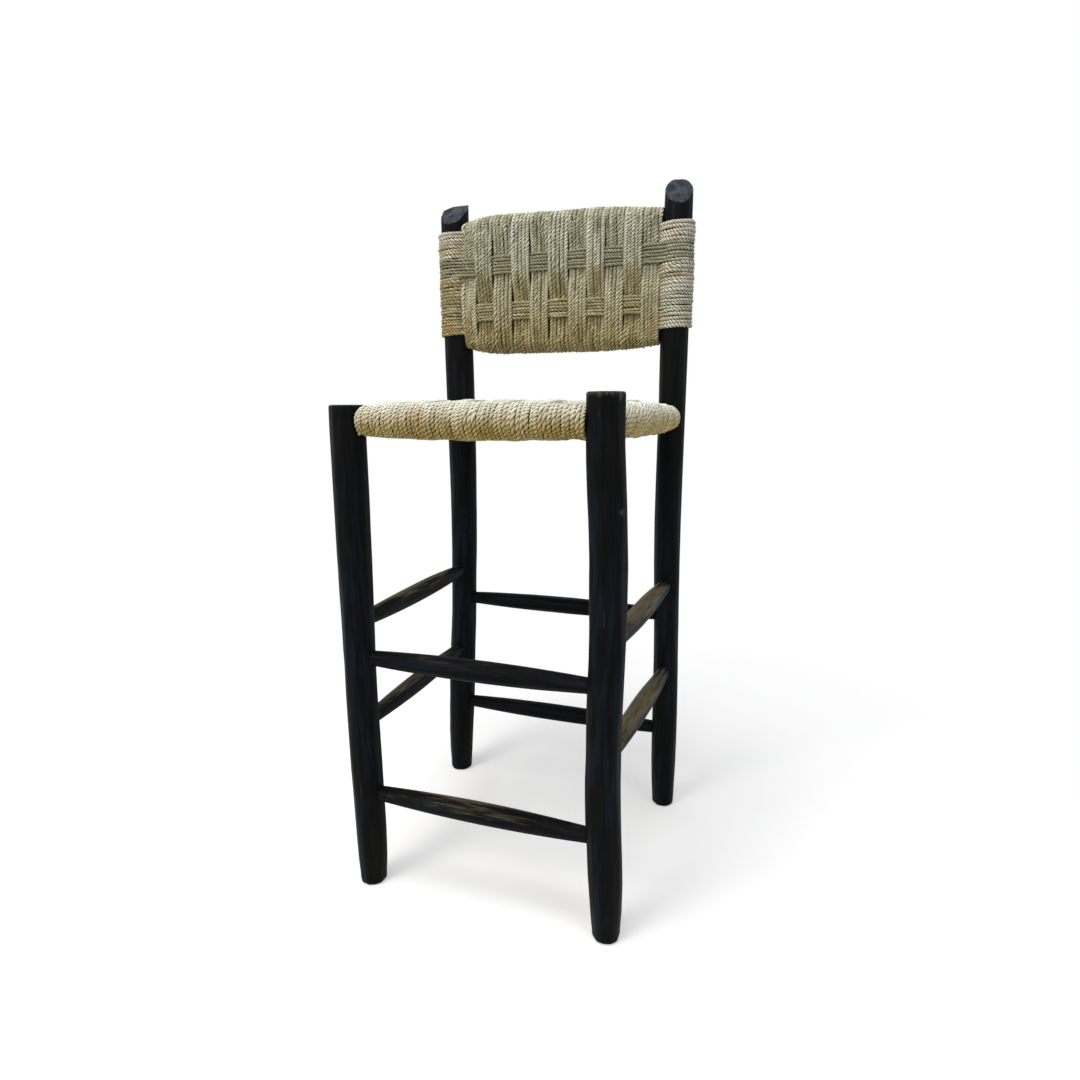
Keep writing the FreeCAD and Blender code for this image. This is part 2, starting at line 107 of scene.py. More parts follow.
def add_node(tree, kind, settings=None, inputs=None, stops=()):
    """Add a node. An input is a value or another node's output; stops are a ramp's places and colours."""
    node = tree.nodes.new(kind)
    for name, value in (settings or {}).items():
        setattr(node, name, value)
    for name, value in (inputs or {}).items():
        if isinstance(value, bpy.types.NodeSocket):
            tree.links.new(value, node.inputs[name])
        else:
            node.inputs[name].default_value = value
    for number, (place, code) in enumerate(stops):
        ramp = node.color_ramp.elements
        element = ramp[number] if number < len(ramp) else ramp.new(place)
        element.position = place
        element.color = colour(code)
    return node


def new_finish(name):
    material = bpy.data.materials.new(name)
    material.use_nodes = True
    tree = material.node_tree
    return material, tree, tree.nodes["Principled BSDF"]


print("middle grey as linear light", round(colour("#808080")[0], 3))

# %% [markdown]
# ## Black stained, hand-hewn wood
# The posts and rungs are a soft wood cut with a drawknife, stained black and rubbed by years of use. The eye
# sees fine streaks along the grain, a dull sheen with bluish patches of painted sheen, and brown wood where
# edges and treads are worn through.
# Each wooden piece carries its own straight coordinates in an attribute called grain, with the grain along Z,
# and a number called wear. One finish then fits pieces that lie in any direction. Faces cut across the grain
# are marked as sawn, and they are painted a dull blue-grey as painted sheen. Flecks of noise added to the
# wear break up its edge, so that the bare wood shows in streaks.

# %% Wood finish
# Widths and lengths of the marks in the wood. Real grain is finer than a pixel, so it is drawn coarser.
grain_size = (1.1 * millimetre, 60 * millimetre)
stain_and_sheen_patch_size = (13 * millimetre, 130 * millimetre)
wear_fleck_size = (3.2 * millimetre, 40 * millimetre)
grain_depth = 0.35 * millimetre
grain_relief = 0.5
wear_gain = 0.8
wear_offset = -0.55
wear_limits = (0.3, 0.95)
wood_roughness = (0.45, 0.65)

# The stain has soaked in and left no film, so the wood has far less sheen than varnish
wood_sheen = 0.05


def stained_wood(name, worn_code):
    material, tree, shader = new_finish(name)
    grain, wear, sawn = [add_node(tree, "ShaderNodeAttribute", {"attribute_name": label})
                         for label in ("grain", "wear", "sawn")]
    noises = []
    for width, length in (grain_size, stain_and_sheen_patch_size, wear_fleck_size):
        place = add_node(tree, "ShaderNodeMapping", None, {
            "Vector": grain.outputs["Vector"], "Scale": (1 / width, 1 / width, 1 / length)})
        noises.append(add_node(tree, "ShaderNodeTexNoise", None, {
            "Vector": place.outputs["Vector"], "Scale": 1.0, "Detail": 4.0, "Roughness": 0.6}))
    fine, patch, fleck = [noise.outputs["Fac"] for noise in noises]

    streaks = add_node(tree, "ShaderNodeValToRGB", None, {"Fac": fine},
                       ((0.34, "#010102"), (0.5, "#08090b"), (0.7, "#1c1b19")))
    # Patches partly of black and brown stain, and partly bluish painted sheen that stands for reflections
    stain_and_sheen_patches = add_node(tree, "ShaderNodeValToRGB", None, {"Fac": patch},
                       ((0.36, "#17212d"), (0.5, "#030405"), (0.64, "#0f0f0a")))
    stain_and_sheen = add_node(tree, "ShaderNodeMix", {"data_type": "RGBA"}, {
        "Factor": 0.5, "A": streaks.outputs["Color"], "B": stain_and_sheen_patches.outputs["Color"]})

    wear_edge = add_node(tree, "ShaderNodeMath", {"operation": "MULTIPLY_ADD"}, {
        0: wear.outputs["Fac"], 1: wear_gain, 2: wear_offset})
    wear_sum = add_node(tree, "ShaderNodeMath", {"operation": "ADD"}, {
        0: wear_edge.outputs["Value"], 1: fleck})
    wear_share = add_node(tree, "ShaderNodeMapRange", {"interpolation_type": "SMOOTHSTEP"}, {
        "Value": wear_sum.outputs["Value"], "From Min": wear_limits[0], "From Max": wear_limits[1]})
    worn = add_node(tree, "ShaderNodeMix", {"data_type": "RGBA"}, {
        "Factor": wear_share.outputs["Result"], "A": stain_and_sheen.outputs["Result"], "B": colour(worn_code)})
    # Painted sheen: the sawn faces, which face up, are painted a lighter blue-grey
    painted_sheen_on_cuts = add_node(tree, "ShaderNodeValToRGB", None, {"Fac": patch}, ((0.36, "#20252a"), (0.62, "#434a51")))
    wood = add_node(tree, "ShaderNodeMix", {"data_type": "RGBA"}, {
        "Factor": sawn.outputs["Fac"], "A": worn.outputs["Result"], "B": painted_sheen_on_cuts.outputs["Color"]})
    tree.links.new(wood.outputs["Result"], shader.inputs["Base Color"])

    dullness = add_node(tree, "ShaderNodeMapRange", None, {
        "Value": fine, "To Min": wood_roughness[0], "To Max": wood_roughness[1]})
    tree.links.new(dullness.outputs["Result"], shader.inputs["Roughness"])
    relief = add_node(tree, "ShaderNodeBump", None, {
        "Height": fine, "Strength": grain_relief, "Distance": grain_depth})
    tree.links.new(relief.outputs["Normal"], shader.inputs["Normal"])
    shader.inputs["Specular IOR Level"].default_value = wood_sheen
    return material


post_finish = stained_wood("stained_post_wood", "#5d544c")
rung_finish = stained_wood("worn_rung_wood", "#716750")
print("wood finishes", post_finish.name, rung_finish.name)

# %% [markdown]
# ## The posts' line, read from the solids
# A post is not straight and not quite round. Cutting its solid at a height gives a ring of points, whose box
# gives the middle and the radius there. The heights keep clear of the bores for rungs and rails.

# %% Post lines
front_cut_heights = (0.009, 0.04, 0.085, 0.12, 0.185, 0.23, 0.3, 0.335, 0.395, 0.46, 0.53, 0.61, 0.685)
back_cut_heights = front_cut_heights + (0.745, 0.82, 0.88, 0.94, 1.0)
right_top_slimming = 1.5 * millimetre


def cut_ring(node, height):
    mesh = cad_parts[node].data
    places = np.zeros(len(mesh.vertices) * 3)
    mesh.vertices.foreach_get("co", places)
    ends = np.zeros(len(mesh.edges) * 2, dtype=int)
    mesh.edges.foreach_get("vertices", ends)
    pairs = places.reshape(-1, 3)[ends.reshape(-1, 2)]
    above = pairs[:, :, 2] > height
    pairs = pairs[above[:, 0] != above[:, 1]]
    share = (height - pairs[:, 0, 2]) / (pairs[:, 1, 2] - pairs[:, 0, 2])
    ring = pairs[:, 0] + (pairs[:, 1] - pairs[:, 0]) * share[:, None]
    low = ring.min(axis=0)
    high = ring.max(axis=0)
    return [*(low + high) / 2, (high[0] - low[0]) / 2]


post_lines = {}
for node in ("front_left_leg", "front_right_leg", "back_left_post", "back_right_post"):
    heights = front_cut_heights if node.startswith("front") else back_cut_heights
    post_lines[node] = np.array([cut_ring(node, height) for height in heights])

# The right back post slims on its left side towards the top
right_top = post_lines["back_right_post"][-1] + (right_top_slimming, 0, 0, -right_top_slimming)
right_top[2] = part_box("back_right_post")[1].z
post_lines["back_right_post"] = np.vstack((post_lines["back_right_post"], right_top))


def post_at(node, height):
    """Middle and radius of a post at a height."""
    line = post_lines[node]
    x, y, radius = [np.interp(height, line[:, 2], line[:, column]) for column in (0, 1, 3)]
    return Vector((x, y, height)), radius


footrest_height = 0.368
for node in post_lines:
    print(node, "radius at the footrest", round(post_at(node, footrest_height)[1] / millimetre, 1))

# %% [markdown]
# ## Hewn flats
# A drawknife takes long flats off a round stick, and they come and go along it. Planes could cut the finished
# stick one by one, but that gives flats of one depth from end to end. Here a flat is a plane whose depth
# swings along the bar, and the wood reaches out to the nearest plane. Where two flats meet there is a ridge,
# which wears brown first.

# %% Flats
ridge_width = 0.5 * millimetre
flat_turn_variety = 0.3
flat_depth_shares = (0.5, 1.2)
flat_depth_middle = 0.55
flat_depth_swing = 0.45
flat_wave_lengths = (0.12, 0.3)
flat_drift = 0.5
flat_facing = 0.5


def make_flats(seed, count, depth):
    """Flats round a bar: angle, depth, wave length, wave start and drift along the bar."""
    draw = random.Random(seed)
    flats = []
    for number in range(count):
        angle = (number + draw.uniform(-flat_turn_variety, flat_turn_variety)) * math.tau / count
        flats.append((angle, depth * draw.uniform(*flat_depth_shares), draw.uniform(*flat_wave_lengths),
                      draw.uniform(0, math.tau), draw.uniform(-flat_drift, flat_drift)))
    return flats


def hewn_radius(flats, angle, along, radius):
    """Radius at an angle and a length along the bar, and how near that point is to a ridge."""
    reaches = [radius, radius]
    for flat_angle, depth, wave, start, drift in flats:
        facing = math.cos(angle - flat_angle - drift * along)
        if facing > flat_facing:
            swing = flat_depth_swing * math.sin(math.tau * along / wave + start)
            cut = depth * (flat_depth_middle + swing)
            reaches.append((radius - cut) / facing)
    nearest, second = sorted(reaches)[:2]
    ridge = max(0.0, 1 - (second - nearest) / ridge_width)
    return nearest, ridge


round_stick = 20 * millimetre
sample_flats = make_flats(1, 8, millimetre)
reaches = [hewn_radius(sample_flats, math.radians(angle), 0.0, round_stick)[0] for angle in range(360)]
print("flats take up to", round((round_stick - min(reaches)) / millimetre, 2), "mm off a round stick")

# %% [markdown]
# ## Bars from rings
# A bar could be carved out of a cylinder, but posts lean and rungs swell. So it starts as a circle that is
# extruded ring by ring, and each ring gets its own middle and radius. Its points move in to the flats, and
# each keeps its grain coordinates and its wear for the finish.

# %% Hewn bar
ring_spacing = 9 * millimetre
ring_points = 48


def hewn_bar(length, radius_at, flats, wear_at, middle_at=None):
    """A bar along Z from 0 to length, as a bmesh with its grain and wear on every point."""
    model = bmesh.new()
    grain = model.verts.layers.float_vector.new("grain")
    wear = model.verts.layers.float.new("wear")
    rings = max(2, round(length / ring_spacing))
    circle = bmesh.ops.create_circle(model, segments=ring_points, radius=1.0)
    ring = circle["verts"]
    edges = list({edge for vert in ring for edge in vert.link_edges})
    for number in range(rings + 1):
        along = length * number / rings
        if number:
            made = bmesh.ops.extrude_edge_only(model, edges=edges)["geom"]
            ring = [part for part in made if isinstance(part, bmesh.types.BMVert)]
            edges = [part for part in made if isinstance(part, bmesh.types.BMEdge)]
        for vert in ring:
            angle = math.atan2(vert.co.y, vert.co.x)
            reach, ridge = hewn_radius(flats, angle, along, radius_at(along))
            vert[grain] = (reach * math.cos(angle), reach * math.sin(angle), along)
            vert[wear] = wear_at(along, angle, ridge)
        for vert in ring:
            vert.co.z = along
    for vert in model.verts:
        middle = middle_at(vert.co.z) if middle_at else Vector()
        place = vert[grain]
        vert.co = (middle.x + place.x, middle.y + place.y, vert.co.z)
    for face in model.faces:
        face.smooth = True
    bmesh.ops.holes_fill(model, edges=[edge for edge in model.edges if edge.is_boundary], sides=0)
    bmesh.ops.recalc_face_normals(model, faces=model.faces)
    return model


print("a bar has", ring_points, "points in every ring")

# %% [markdown]
# ## Rims and pieces
# A saw leaves a sharp rim, and a bevel has to be told its edges. A search by angle would find the hewn ridges
# too, so a rim is found by the large end face beside it. A finished mesh then becomes a piece of the stool,
# which rides on the one body and can take the place of a solid.

# %% Rims and pieces
most_side_points = 8


def rim_edges(model, low, high):
    """Edges of the flat ends between two heights: those between a large end face and the side."""
    found = []
    for edge in model.edges:
        sides = sorted(len(face.verts) for face in edge.link_faces)
        if sides and sides[-1] > most_side_points and low <= edge.verts[0].co.z <= high:
            found.append(edge)
    return found


def show_mesh(mesh, name, node, slot, finish):
    """Make a mesh a piece of the stool, which stands for a solid of the frame if one is named."""
    mesh.materials.clear()
    mesh.materials.append(finish)
    piece = add_object(name, mesh)
    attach(piece, "root")
    if node:
        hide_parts(node)
    return piece


def show_model(model, name, node, slot, finish):
    """Turn a bmesh into a piece of the stool."""
    mesh = bpy.data.meshes.new(name)
    model.to_mesh(mesh)
    model.free()
    return show_mesh(mesh, name, node, slot, finish)


print("a face of more than", most_side_points, "points is an end")

# %% [markdown]
# ## The tops of the back posts
# The back posts are sawn off at a slant that faces the sitter, and the left one falls away to the left too.
# Such a top could be built face by face, but a plane that bisects the finished bar cuts it as a saw does. A
# cut then needs only a point on its plane and the direction out of the wood.

# %% Post tops
post_cut_slope = 1.1

# How far the upper edge of a back post's cut lies behind its middle, and how far it is turned to the left
post_cuts = {
    "back_left_post": (10 * millimetre, 0.0),
    "back_right_post": (20.5 * millimetre, math.radians(12)),
}

# The left post's top falls away to the left from a line beside the middle, at this slope
left_shoulder_place = -8 * millimetre
left_shoulder_slope = 0.42


def top_planes(node, height):
    """The planes that cut the top of a back post: points on them and directions out of the wood."""
    middle = post_at(node, height)[0]
    setback, turn = post_cuts[node]
    uphill = Vector((-math.sin(turn), math.cos(turn), 0))
    planes = [(middle + uphill * setback, Vector((0, 0, 1)) - uphill * post_cut_slope)]
    if node == "back_left_post":
        planes.append((middle + Vector((left_shoulder_place, 0, 0)), Vector((-left_shoulder_slope, 0, 1))))
    return planes


for node in post_cuts:
    print(node, "cuts at the top:", len(top_planes(node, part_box(node)[1].z)))

# %% [markdown]
# ## Wear on the posts
# Hands and knees rub the stain off the ridges, most in a few places, and two chips have come off the front
# right leg. A mask could be painted, but it would have to be painted again for every post. Here a function
# gives the wear at any place on a post, and the finish turns that into bare wood.

# %% Post wear
rubbed_places = 9
rubbed_length = 50 * millimetre
ridge_wear = 0.25
rubbed_wear = 0.3

# Chips in the stain: height, direction and how far they are worn
post_chips = {"front_right_leg": ((0.743, math.radians(-26), 1.5), (0.601, math.radians(-30), 1.2))}
chip_height = 15 * millimetre
chip_turn = 0.45


def post_wear(node, height, seed):
    """The function that gives a post's wear at a height, an angle and a nearness to a ridge."""
    draw = random.Random(seed)
    rubbed = [(draw.uniform(0, height), draw.uniform(0, math.tau)) for number in range(rubbed_places)]

    def wear_at(along, angle, ridge):
        patch = 0.0
        for place, facing in rubbed:
            near = max(0.0, 1 - abs(along - place) / rubbed_length)
            patch = max(patch, near * max(0.0, math.cos(angle - facing)))
        chip = 0.0
        for place, facing, depth in post_chips.get(node, ()):
            near = max(0.0, 1 - abs(along - place) / chip_height)
            turned = abs(math.remainder(angle - facing, math.tau))
            chip = max(chip, depth * near * max(0.0, 1 - turned / chip_turn))
        return max(chip, ridge_wear * ridge + rubbed_wear * patch * ridge)

    return wear_at


print("rubbed places on a post", rubbed_places, "and chips", sum(map(len, post_chips.values())))

# %% [markdown]
# ## The four posts
# The front legs end in flat tops just over the seat, with a rim that hands have rubbed brown. The back posts
# go on up to their slanting cuts. A straight bar could be bent along a curve, but a post's line is already
# known, so each ring is put on it. A small bevel takes the sharpness off every rim. The flats take wood away,
# so a stick starts a little fuller.

# %% Posts
flat_count = 11
post_flat_depth = 1.5 * millimetre
foot_round = 5 * millimetre
top_round = 3 * millimetre
post_fullness = 1.012
sawn_facing = 0.5


def make_post(node, seed, rim_wear):
    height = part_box(node)[1].z
    flats = make_flats(seed, flat_count, post_flat_depth)

    def radius_at(along):
        return post_at(node, along)[1] * post_fullness

    def middle_at(along):
        return post_at(node, along)[0]

    model = hewn_bar(height, radius_at, flats, post_wear(node, height, seed + 100), middle_at)
    if node in post_cuts:
        for point, normal in top_planes(node, height):
            everything = model.verts[:] + model.edges[:] + model.faces[:]
            bmesh.ops.bisect_plane(model, geom=everything, plane_co=point, plane_no=normal, clear_outer=True)
            open_rim = [rim for rim in model.edges if rim.is_boundary]
            bmesh.ops.holes_fill(model, edges=open_rim, sides=0)
    sawn = model.faces.layers.float.new("sawn")
    model.normal_update()
    for face in model.faces:
        face[sawn] = 1.0 if face.normal.z > sawn_facing else 0.0
    # A foot's rim lies on the floor, and the rim of a top lies more than half a metre up
    for low, high, offset, rubbed_share in ((-1, 0.001, foot_round, 0.0), (0.5, 2, top_round, rim_wear)):
        rim = bmesh.ops.bevel(model, geom=rim_edges(model, low, high), offset=offset, offset_type="OFFSET",
                              segments=3, profile=0.5, affect="EDGES", clamp_overlap=True, material=-1)
        wear = model.verts.layers.float["wear"]
        for vert in rim["verts"]:
            vert[wear] = max(vert[wear], rubbed_share)
        for face in rim["faces"]:
            face.smooth = True
    bmesh.ops.triangulate(model, faces=[face for face in model.faces if len(face.verts) > 4])
    return show_model(model, "hewn_" + node, node, "post_wood", post_finish)


for seed, (node, rim_wear) in enumerate((("front_left_leg", 0.4), ("front_right_leg", 0.75),
                                         ("back_left_post", 0.3), ("back_right_post", 0.3))):
    post = make_post(node, seed + 11, rim_wear)
    print(post.name, len(post.data.polygons), "faces")

# %% [markdown]
# ## Bars between posts
# A rung or a rail is thickest in the middle and thins to a round tenon at each end. It could be turned from a
# profile, but the weave has to know its line as well. So a small class keeps the places of its two shoulders
# and gives its middle and its radius at any share of its length.

# %% Bars between posts
shoulder_gap = 0.5 * millimetre


class Bar:
    """A round bar between two posts: its middle and its radius at a share of its length."""

    def __init__(self, first, first_height, second, second_height, end_radius, middle_radius):
        first_middle, first_radius = post_at(first, first_height)
        second_middle, second_radius = post_at(second, second_height)
        way = (second_middle - first_middle).normalized()
        self.start = first_middle + way * (first_radius + shoulder_gap)
        self.finish = second_middle - way * (second_radius + shoulder_gap)
        self.end_radius = end_radius
        self.swell = middle_radius - end_radius
        self.padding = 0.0
        self.length = (self.finish - self.start).length

    def at(self, share):
        return self.start.lerp(self.finish, share)

    def radius(self, share):
        return self.end_radius + self.swell * max(0.0, 4 * share * (1 - share))


# A rung's radii at the ends and in the middle
rung_radii = (11 * millimetre, 15.5 * millimetre)
footrest = Bar("front_left_leg", footrest_height, "front_right_leg", footrest_height, *rung_radii)
print("the footrest is", round(footrest.length / millimetre), "mm long between its shoulders")

# %% [markdown]
# ## Rungs
# Feet and hands have worn the tops of the side rungs and of the lower front rung. The wear could be a mask in
# the finish, but it is set point by point, because each rung knows which of its sides faces up. It fades
# along the rung. The bar is hewn upright, with its grain along it, and then laid between its posts.

# %% Rungs
tenon_reach = 8 * millimetre
rung_flat_count = 8
rung_flat_depth = 1.0 * millimetre
rung_fullness = 1.01
rung_ridge_wear = 0.3
side_wear = 0.35
wear_fade = 0.35


def make_bar_piece(node, bar, seed, slot, top_wear):
    way = (bar.finish - bar.start).normalized()
    length = bar.length + 2 * tenon_reach
    flats = make_flats(seed, rung_flat_count, rung_flat_depth)
    turn = way.to_track_quat("Z", "Y").to_matrix().to_4x4()
    up_here = turn.inverted() @ Vector((0, 0, 1))
    up_angle = math.atan2(up_here.y, up_here.x)

    def radius_at(along):
        return bar.radius((along - tenon_reach) / bar.length) * rung_fullness

    def wear_at(along, angle, ridge):
        upper = max(0.0, side_wear + (1 - side_wear) * math.cos(angle - up_angle))
        middle = max(0.0, math.sin(math.pi * along / length)) ** 0.5 * (1 - wear_fade * along / length)
        return min(1.0, rung_ridge_wear * ridge + top_wear * upper * middle)

    model = hewn_bar(length, radius_at, flats, wear_at)
    place = Matrix.Translation(bar.start - way * tenon_reach) @ turn
    bmesh.ops.transform(model, matrix=place, verts=model.verts)
    bmesh.ops.triangulate(model, faces=[face for face in model.faces if len(face.verts) > 4])
    show_model(model, "hewn_" + node, node, slot, rung_finish)


# A rung's two posts, its height, and how worn its upper side is
rungs = (
    ("footrest_rung", "front_left_leg", "front_right_leg", footrest_height, 0.2),
    ("front_lower_rung", "front_left_leg", "front_right_leg", 0.151, 0.56),
    ("back_upper_rung", "back_left_post", "back_right_post", 0.363, 0.0),
    ("back_lower_rung", "back_left_post", "back_right_post", 0.147, 0.0),
    ("left_upper_rung", "front_left_leg", "back_left_post", 0.42, 0.75),
    ("left_lower_rung", "front_left_leg", "back_left_post", 0.261, 0.65),
    ("right_upper_rung", "front_right_leg", "back_right_post", 0.42, 1.35),
    ("right_lower_rung", "front_right_leg", "back_right_post", 0.261, 1.5),
)
for seed, (node, first, second, height, top_wear) in enumerate(rungs):
    bar = Bar(first, height, second, height, *rung_radii)
    make_bar_piece(node, bar, seed + 31, "rung_wood", top_wear)
print("rungs", len(rungs))

# %% [markdown]
# ## Rails under the cord
# Four rails carry the cords of the seat, and two carry those of the back. They are hidden, so plain cylinders
# would do, but the same hewn bar without wear takes no more work, and the cords read their places from these
# bars.

# %% Rails
# Radii at the ends and in the middle, and heights at the left and at the right post
seat_rail_radii = (14.5 * millimetre, 18.5 * millimetre)
back_rail_radii = (10.5 * millimetre, 19 * millimetre)
seat_rail_height = 0.711
bottom_rail_heights = (0.853, 0.848)
top_rail_heights = (1.042, 1.033)

seat_bars = {}
for node, first, second in (("seat_front_rail", "front_left_leg", "front_right_leg"),
                            ("seat_back_rail", "back_left_post", "back_right_post"),
                            ("seat_left_rail", "front_left_leg", "back_left_post"),
                            ("seat_right_rail", "front_right_leg", "back_right_post")):
    seat_bars[node] = Bar(first, seat_rail_height, second, seat_rail_height, *seat_rail_radii)
    make_bar_piece(node, seat_bars[node], len(seat_bars) + 51, "rail_wood", 0.0)
back_bars = {}
for node, heights in (("back_bottom_rail", bottom_rail_heights), ("back_top_rail", top_rail_heights)):
    back_bars[node] = Bar("back_left_post", heights[0], "back_right_post", heights[1], *back_rail_radii)
    make_bar_piece(node, back_bars[node], len(back_bars) + 61, "rail_wood", 0.0)
print("rails", len(seat_bars) + len(back_bars))

# %% [markdown]
# ## Twisted straw cord
# The cord is two plies of dried leaf twisted together, some six millimetres thick. The eye sees slanting
# dashes, one for each ply, dark grooves between the plies, fine fibres along them, and a colour that
# wanders from grey-green to tan. The grooves are darkened with painted shade. The upper sides are painted
# pale as painted light from above, and the lower sides darker and golden as painted shade. Every cord carries
# its own straight coordinates in an attribute called lay, so that the fibres follow the plies, and four
# numbers: a tone, how much painted shade lies in a groove, how much painted light it has, and how rusty a
# stain on the front of the seat has left it.

# %% Cord finish
# Widths and lengths of fibres, of pieces of leaf and of their dried stretches. Real fibres are about a tenth
# of a millimetre wide and wouldn't show, so these are drawn coarser.
fibre_size = (0.55 * millimetre, 14 * millimetre)
leaf_size = (5 * millimetre, 11 * millimetre)
dry_size = (5 * millimetre, 30 * millimetre)
fibre_depth = 0.3 * millimetre
fibre_relief = 0.6
leaf_gain = 2.3
fibre_gain = 0.5
tone_limits = (1.33, 2.43)
dry_limits = (0.5, 0.68)
most_tan = 0.8
rust_code = "#b98a5c"
cord_roughness = 0.72
cord_sheen = 0.25


def straw_cord(name, golden_shaded_codes, lit_pale_codes, tan_code, painted_shade_code):
    material, tree, shader = new_finish(name)
    lay, tone, painted_shade, bleach, rust = [add_node(tree, "ShaderNodeAttribute", {"attribute_name": label})
                                       for label in ("lay", "tone", "painted_shade", "bleach", "rust")]
    noises = []
    for width, length in (fibre_size, leaf_size, dry_size):
        place = add_node(tree, "ShaderNodeMapping", None, {
            "Vector": lay.outputs["Vector"], "Scale": (1 / width, 1 / width, 1 / length)})
        noises.append(add_node(tree, "ShaderNodeTexNoise", None, {
            "Vector": place.outputs["Vector"], "Scale": 1.0, "Detail": 3.0, "Roughness": 0.6}))
    fibre, leaf, dry = [noise.outputs["Fac"] for noise in noises]

    tone_sum = add_node(tree, "ShaderNodeMath", {"operation": "MULTIPLY_ADD"}, {
        0: leaf, 1: leaf_gain, 2: tone.outputs["Fac"]})
    fibre_sum = add_node(tree, "ShaderNodeMath", {"operation": "MULTIPLY_ADD"}, {
        0: fibre, 1: fibre_gain, 2: tone_sum.outputs["Value"]})
    tone_share = add_node(tree, "ShaderNodeMapRange", None, {
        "Value": fibre_sum.outputs["Value"], "From Min": tone_limits[0], "From Max": tone_limits[1]})
    # Two copies of the straw colour: golden ones painted as shaded, and pale ones painted as lit from above
    shades = []
    for codes in (golden_shaded_codes, lit_pale_codes):
        stops = [(number / (len(codes) - 1), code) for number, code in enumerate(codes)]
        shades.append(add_node(tree, "ShaderNodeValToRGB", None, {
            "Fac": tone_share.outputs["Result"]}, stops))
    golden_shaded, lit_pale = [shade.outputs["Color"] for shade in shades]
    dry_share = add_node(tree, "ShaderNodeMapRange", {"interpolation_type": "SMOOTHSTEP"}, {
        "Value": dry, "From Min": dry_limits[0], "From Max": dry_limits[1], "To Max": most_tan})
    dried = add_node(tree, "ShaderNodeMix", {"data_type": "RGBA"}, {
        "Factor": dry_share.outputs["Result"], "A": golden_shaded, "B": colour(tan_code)})
    # The painted light attribute mixes the shaded and the lit colours
    straw = add_node(tree, "ShaderNodeMix", {"data_type": "RGBA"}, {
        "Factor": bleach.outputs["Fac"], "A": dried.outputs["Result"], "B": lit_pale})
    rusty = add_node(tree, "ShaderNodeMix", {"data_type": "RGBA"}, {
        "Factor": rust.outputs["Fac"], "A": straw.outputs["Result"], "B": colour(rust_code)})
    # Painted shade in the grooves between the plies, and on the stuffing
    grooved = add_node(tree, "ShaderNodeMix", {"data_type": "RGBA"}, {
        "Factor": painted_shade.outputs["Fac"], "A": rusty.outputs["Result"], "B": colour(painted_shade_code)})
    tree.links.new(grooved.outputs["Result"], shader.inputs["Base Color"])

    relief = add_node(tree, "ShaderNodeBump", None, {
        "Height": fibre, "Strength": fibre_relief, "Distance": fibre_depth})
    tree.links.new(relief.outputs["Normal"], shader.inputs["Normal"])
    shader.inputs["Roughness"].default_value = cord_roughness
    shader.inputs["Specular IOR Level"].default_value = cord_sheen
    return material


# Each finish: golden colours of painted shade, pale colours of painted light, a tan, and a painted groove
# shade
back_finish = straw_cord("grey_green_straw_cord", ("#897e4a", "#aea271", "#c0b78e", "#cec39d"),
                         ("#9c9a82", "#bdbba1", "#d4d2bd", "#e4e1d1"), "#b49a6a", "#4f482e")
winding_finish = straw_cord("tan_straw_cord", ("#826c3e", "#a6905a", "#beab7a", "#d2c6a4"),
                            ("#98906f", "#b7ad8b", "#d0c8ae", "#e0dccd"), "#a8915e", "#51442a")
seat_finish = straw_cord("pale_straw_cord", ("#967d39", "#b6a055", "#cbb974", "#d7c88c"),
                         ("#d6d5be", "#e7e6d3", "#f2f1e4", "#f9f8ef"), "#c6b176", "#6b5d35")
print("cord finishes", back_finish.name, winding_finish.name, seat_finish.name)

# %% [markdown]
# ## The section of a cord
# Cut across, the cord shows two round plies that touch. Two tubes could be wound round each other, but that
# would take more faces, some of them hidden. So the section is one closed line of eight points round both
# plies. Its two waist points lie in the groove between them, where the finish paints shade, and a little
# painted shade lies on the points next to them.

# %% Cord section
ply_radius = 2.2 * millimetre
ply_offset = 0.95 * millimetre
cord_width = 2 * (ply_radius + ply_offset)
deep_groove_shade = 0.95
side_groove_shade = 0.1

waist = math.sqrt(ply_radius ** 2 - ply_offset ** 2)
profile_places = []
profile_groove_shades = []
for side in (1, -1):
    profile_places.append((0.0, side * waist))
    profile_groove_shades.append(deep_groove_shade)
    for angle in (60, 0, -60):
        turn = math.radians(angle)
        profile_places.append((side * (ply_offset + ply_radius * math.cos(turn)),
                               side * ply_radius * math.sin(turn)))
        profile_groove_shades.append(0.0 if angle == 0 else side_groove_shade)
ply_points = len(profile_places)

profile_curve = bpy.data.curves.new("ply_profile", "CURVE")
profile_curve.dimensions = "2D"
profile_spline = profile_curve.splines.new("POLY")
profile_spline.points.add(ply_points - 1)
profile_spline.use_cyclic_u = True
for point, (x, y) in zip(profile_spline.points, profile_places):
    point.co = (x, y, 0, 1)
profile = add_object("ply_profile", profile_curve)
print("the section is", round(cord_width / millimetre, 1), "mm wide and has", ply_points, "points")

# %% [markdown]
# ## The route of a cord
# A cord bends smoothly from one place to the next. Its route could be drawn by hand, but here it is a NURBS
# line, which rounds off a list of control points. Its points are read back at even steps, so that the twist
# can grow evenly along it.

# %% Cord route
twist_step = 1.25 * millimetre


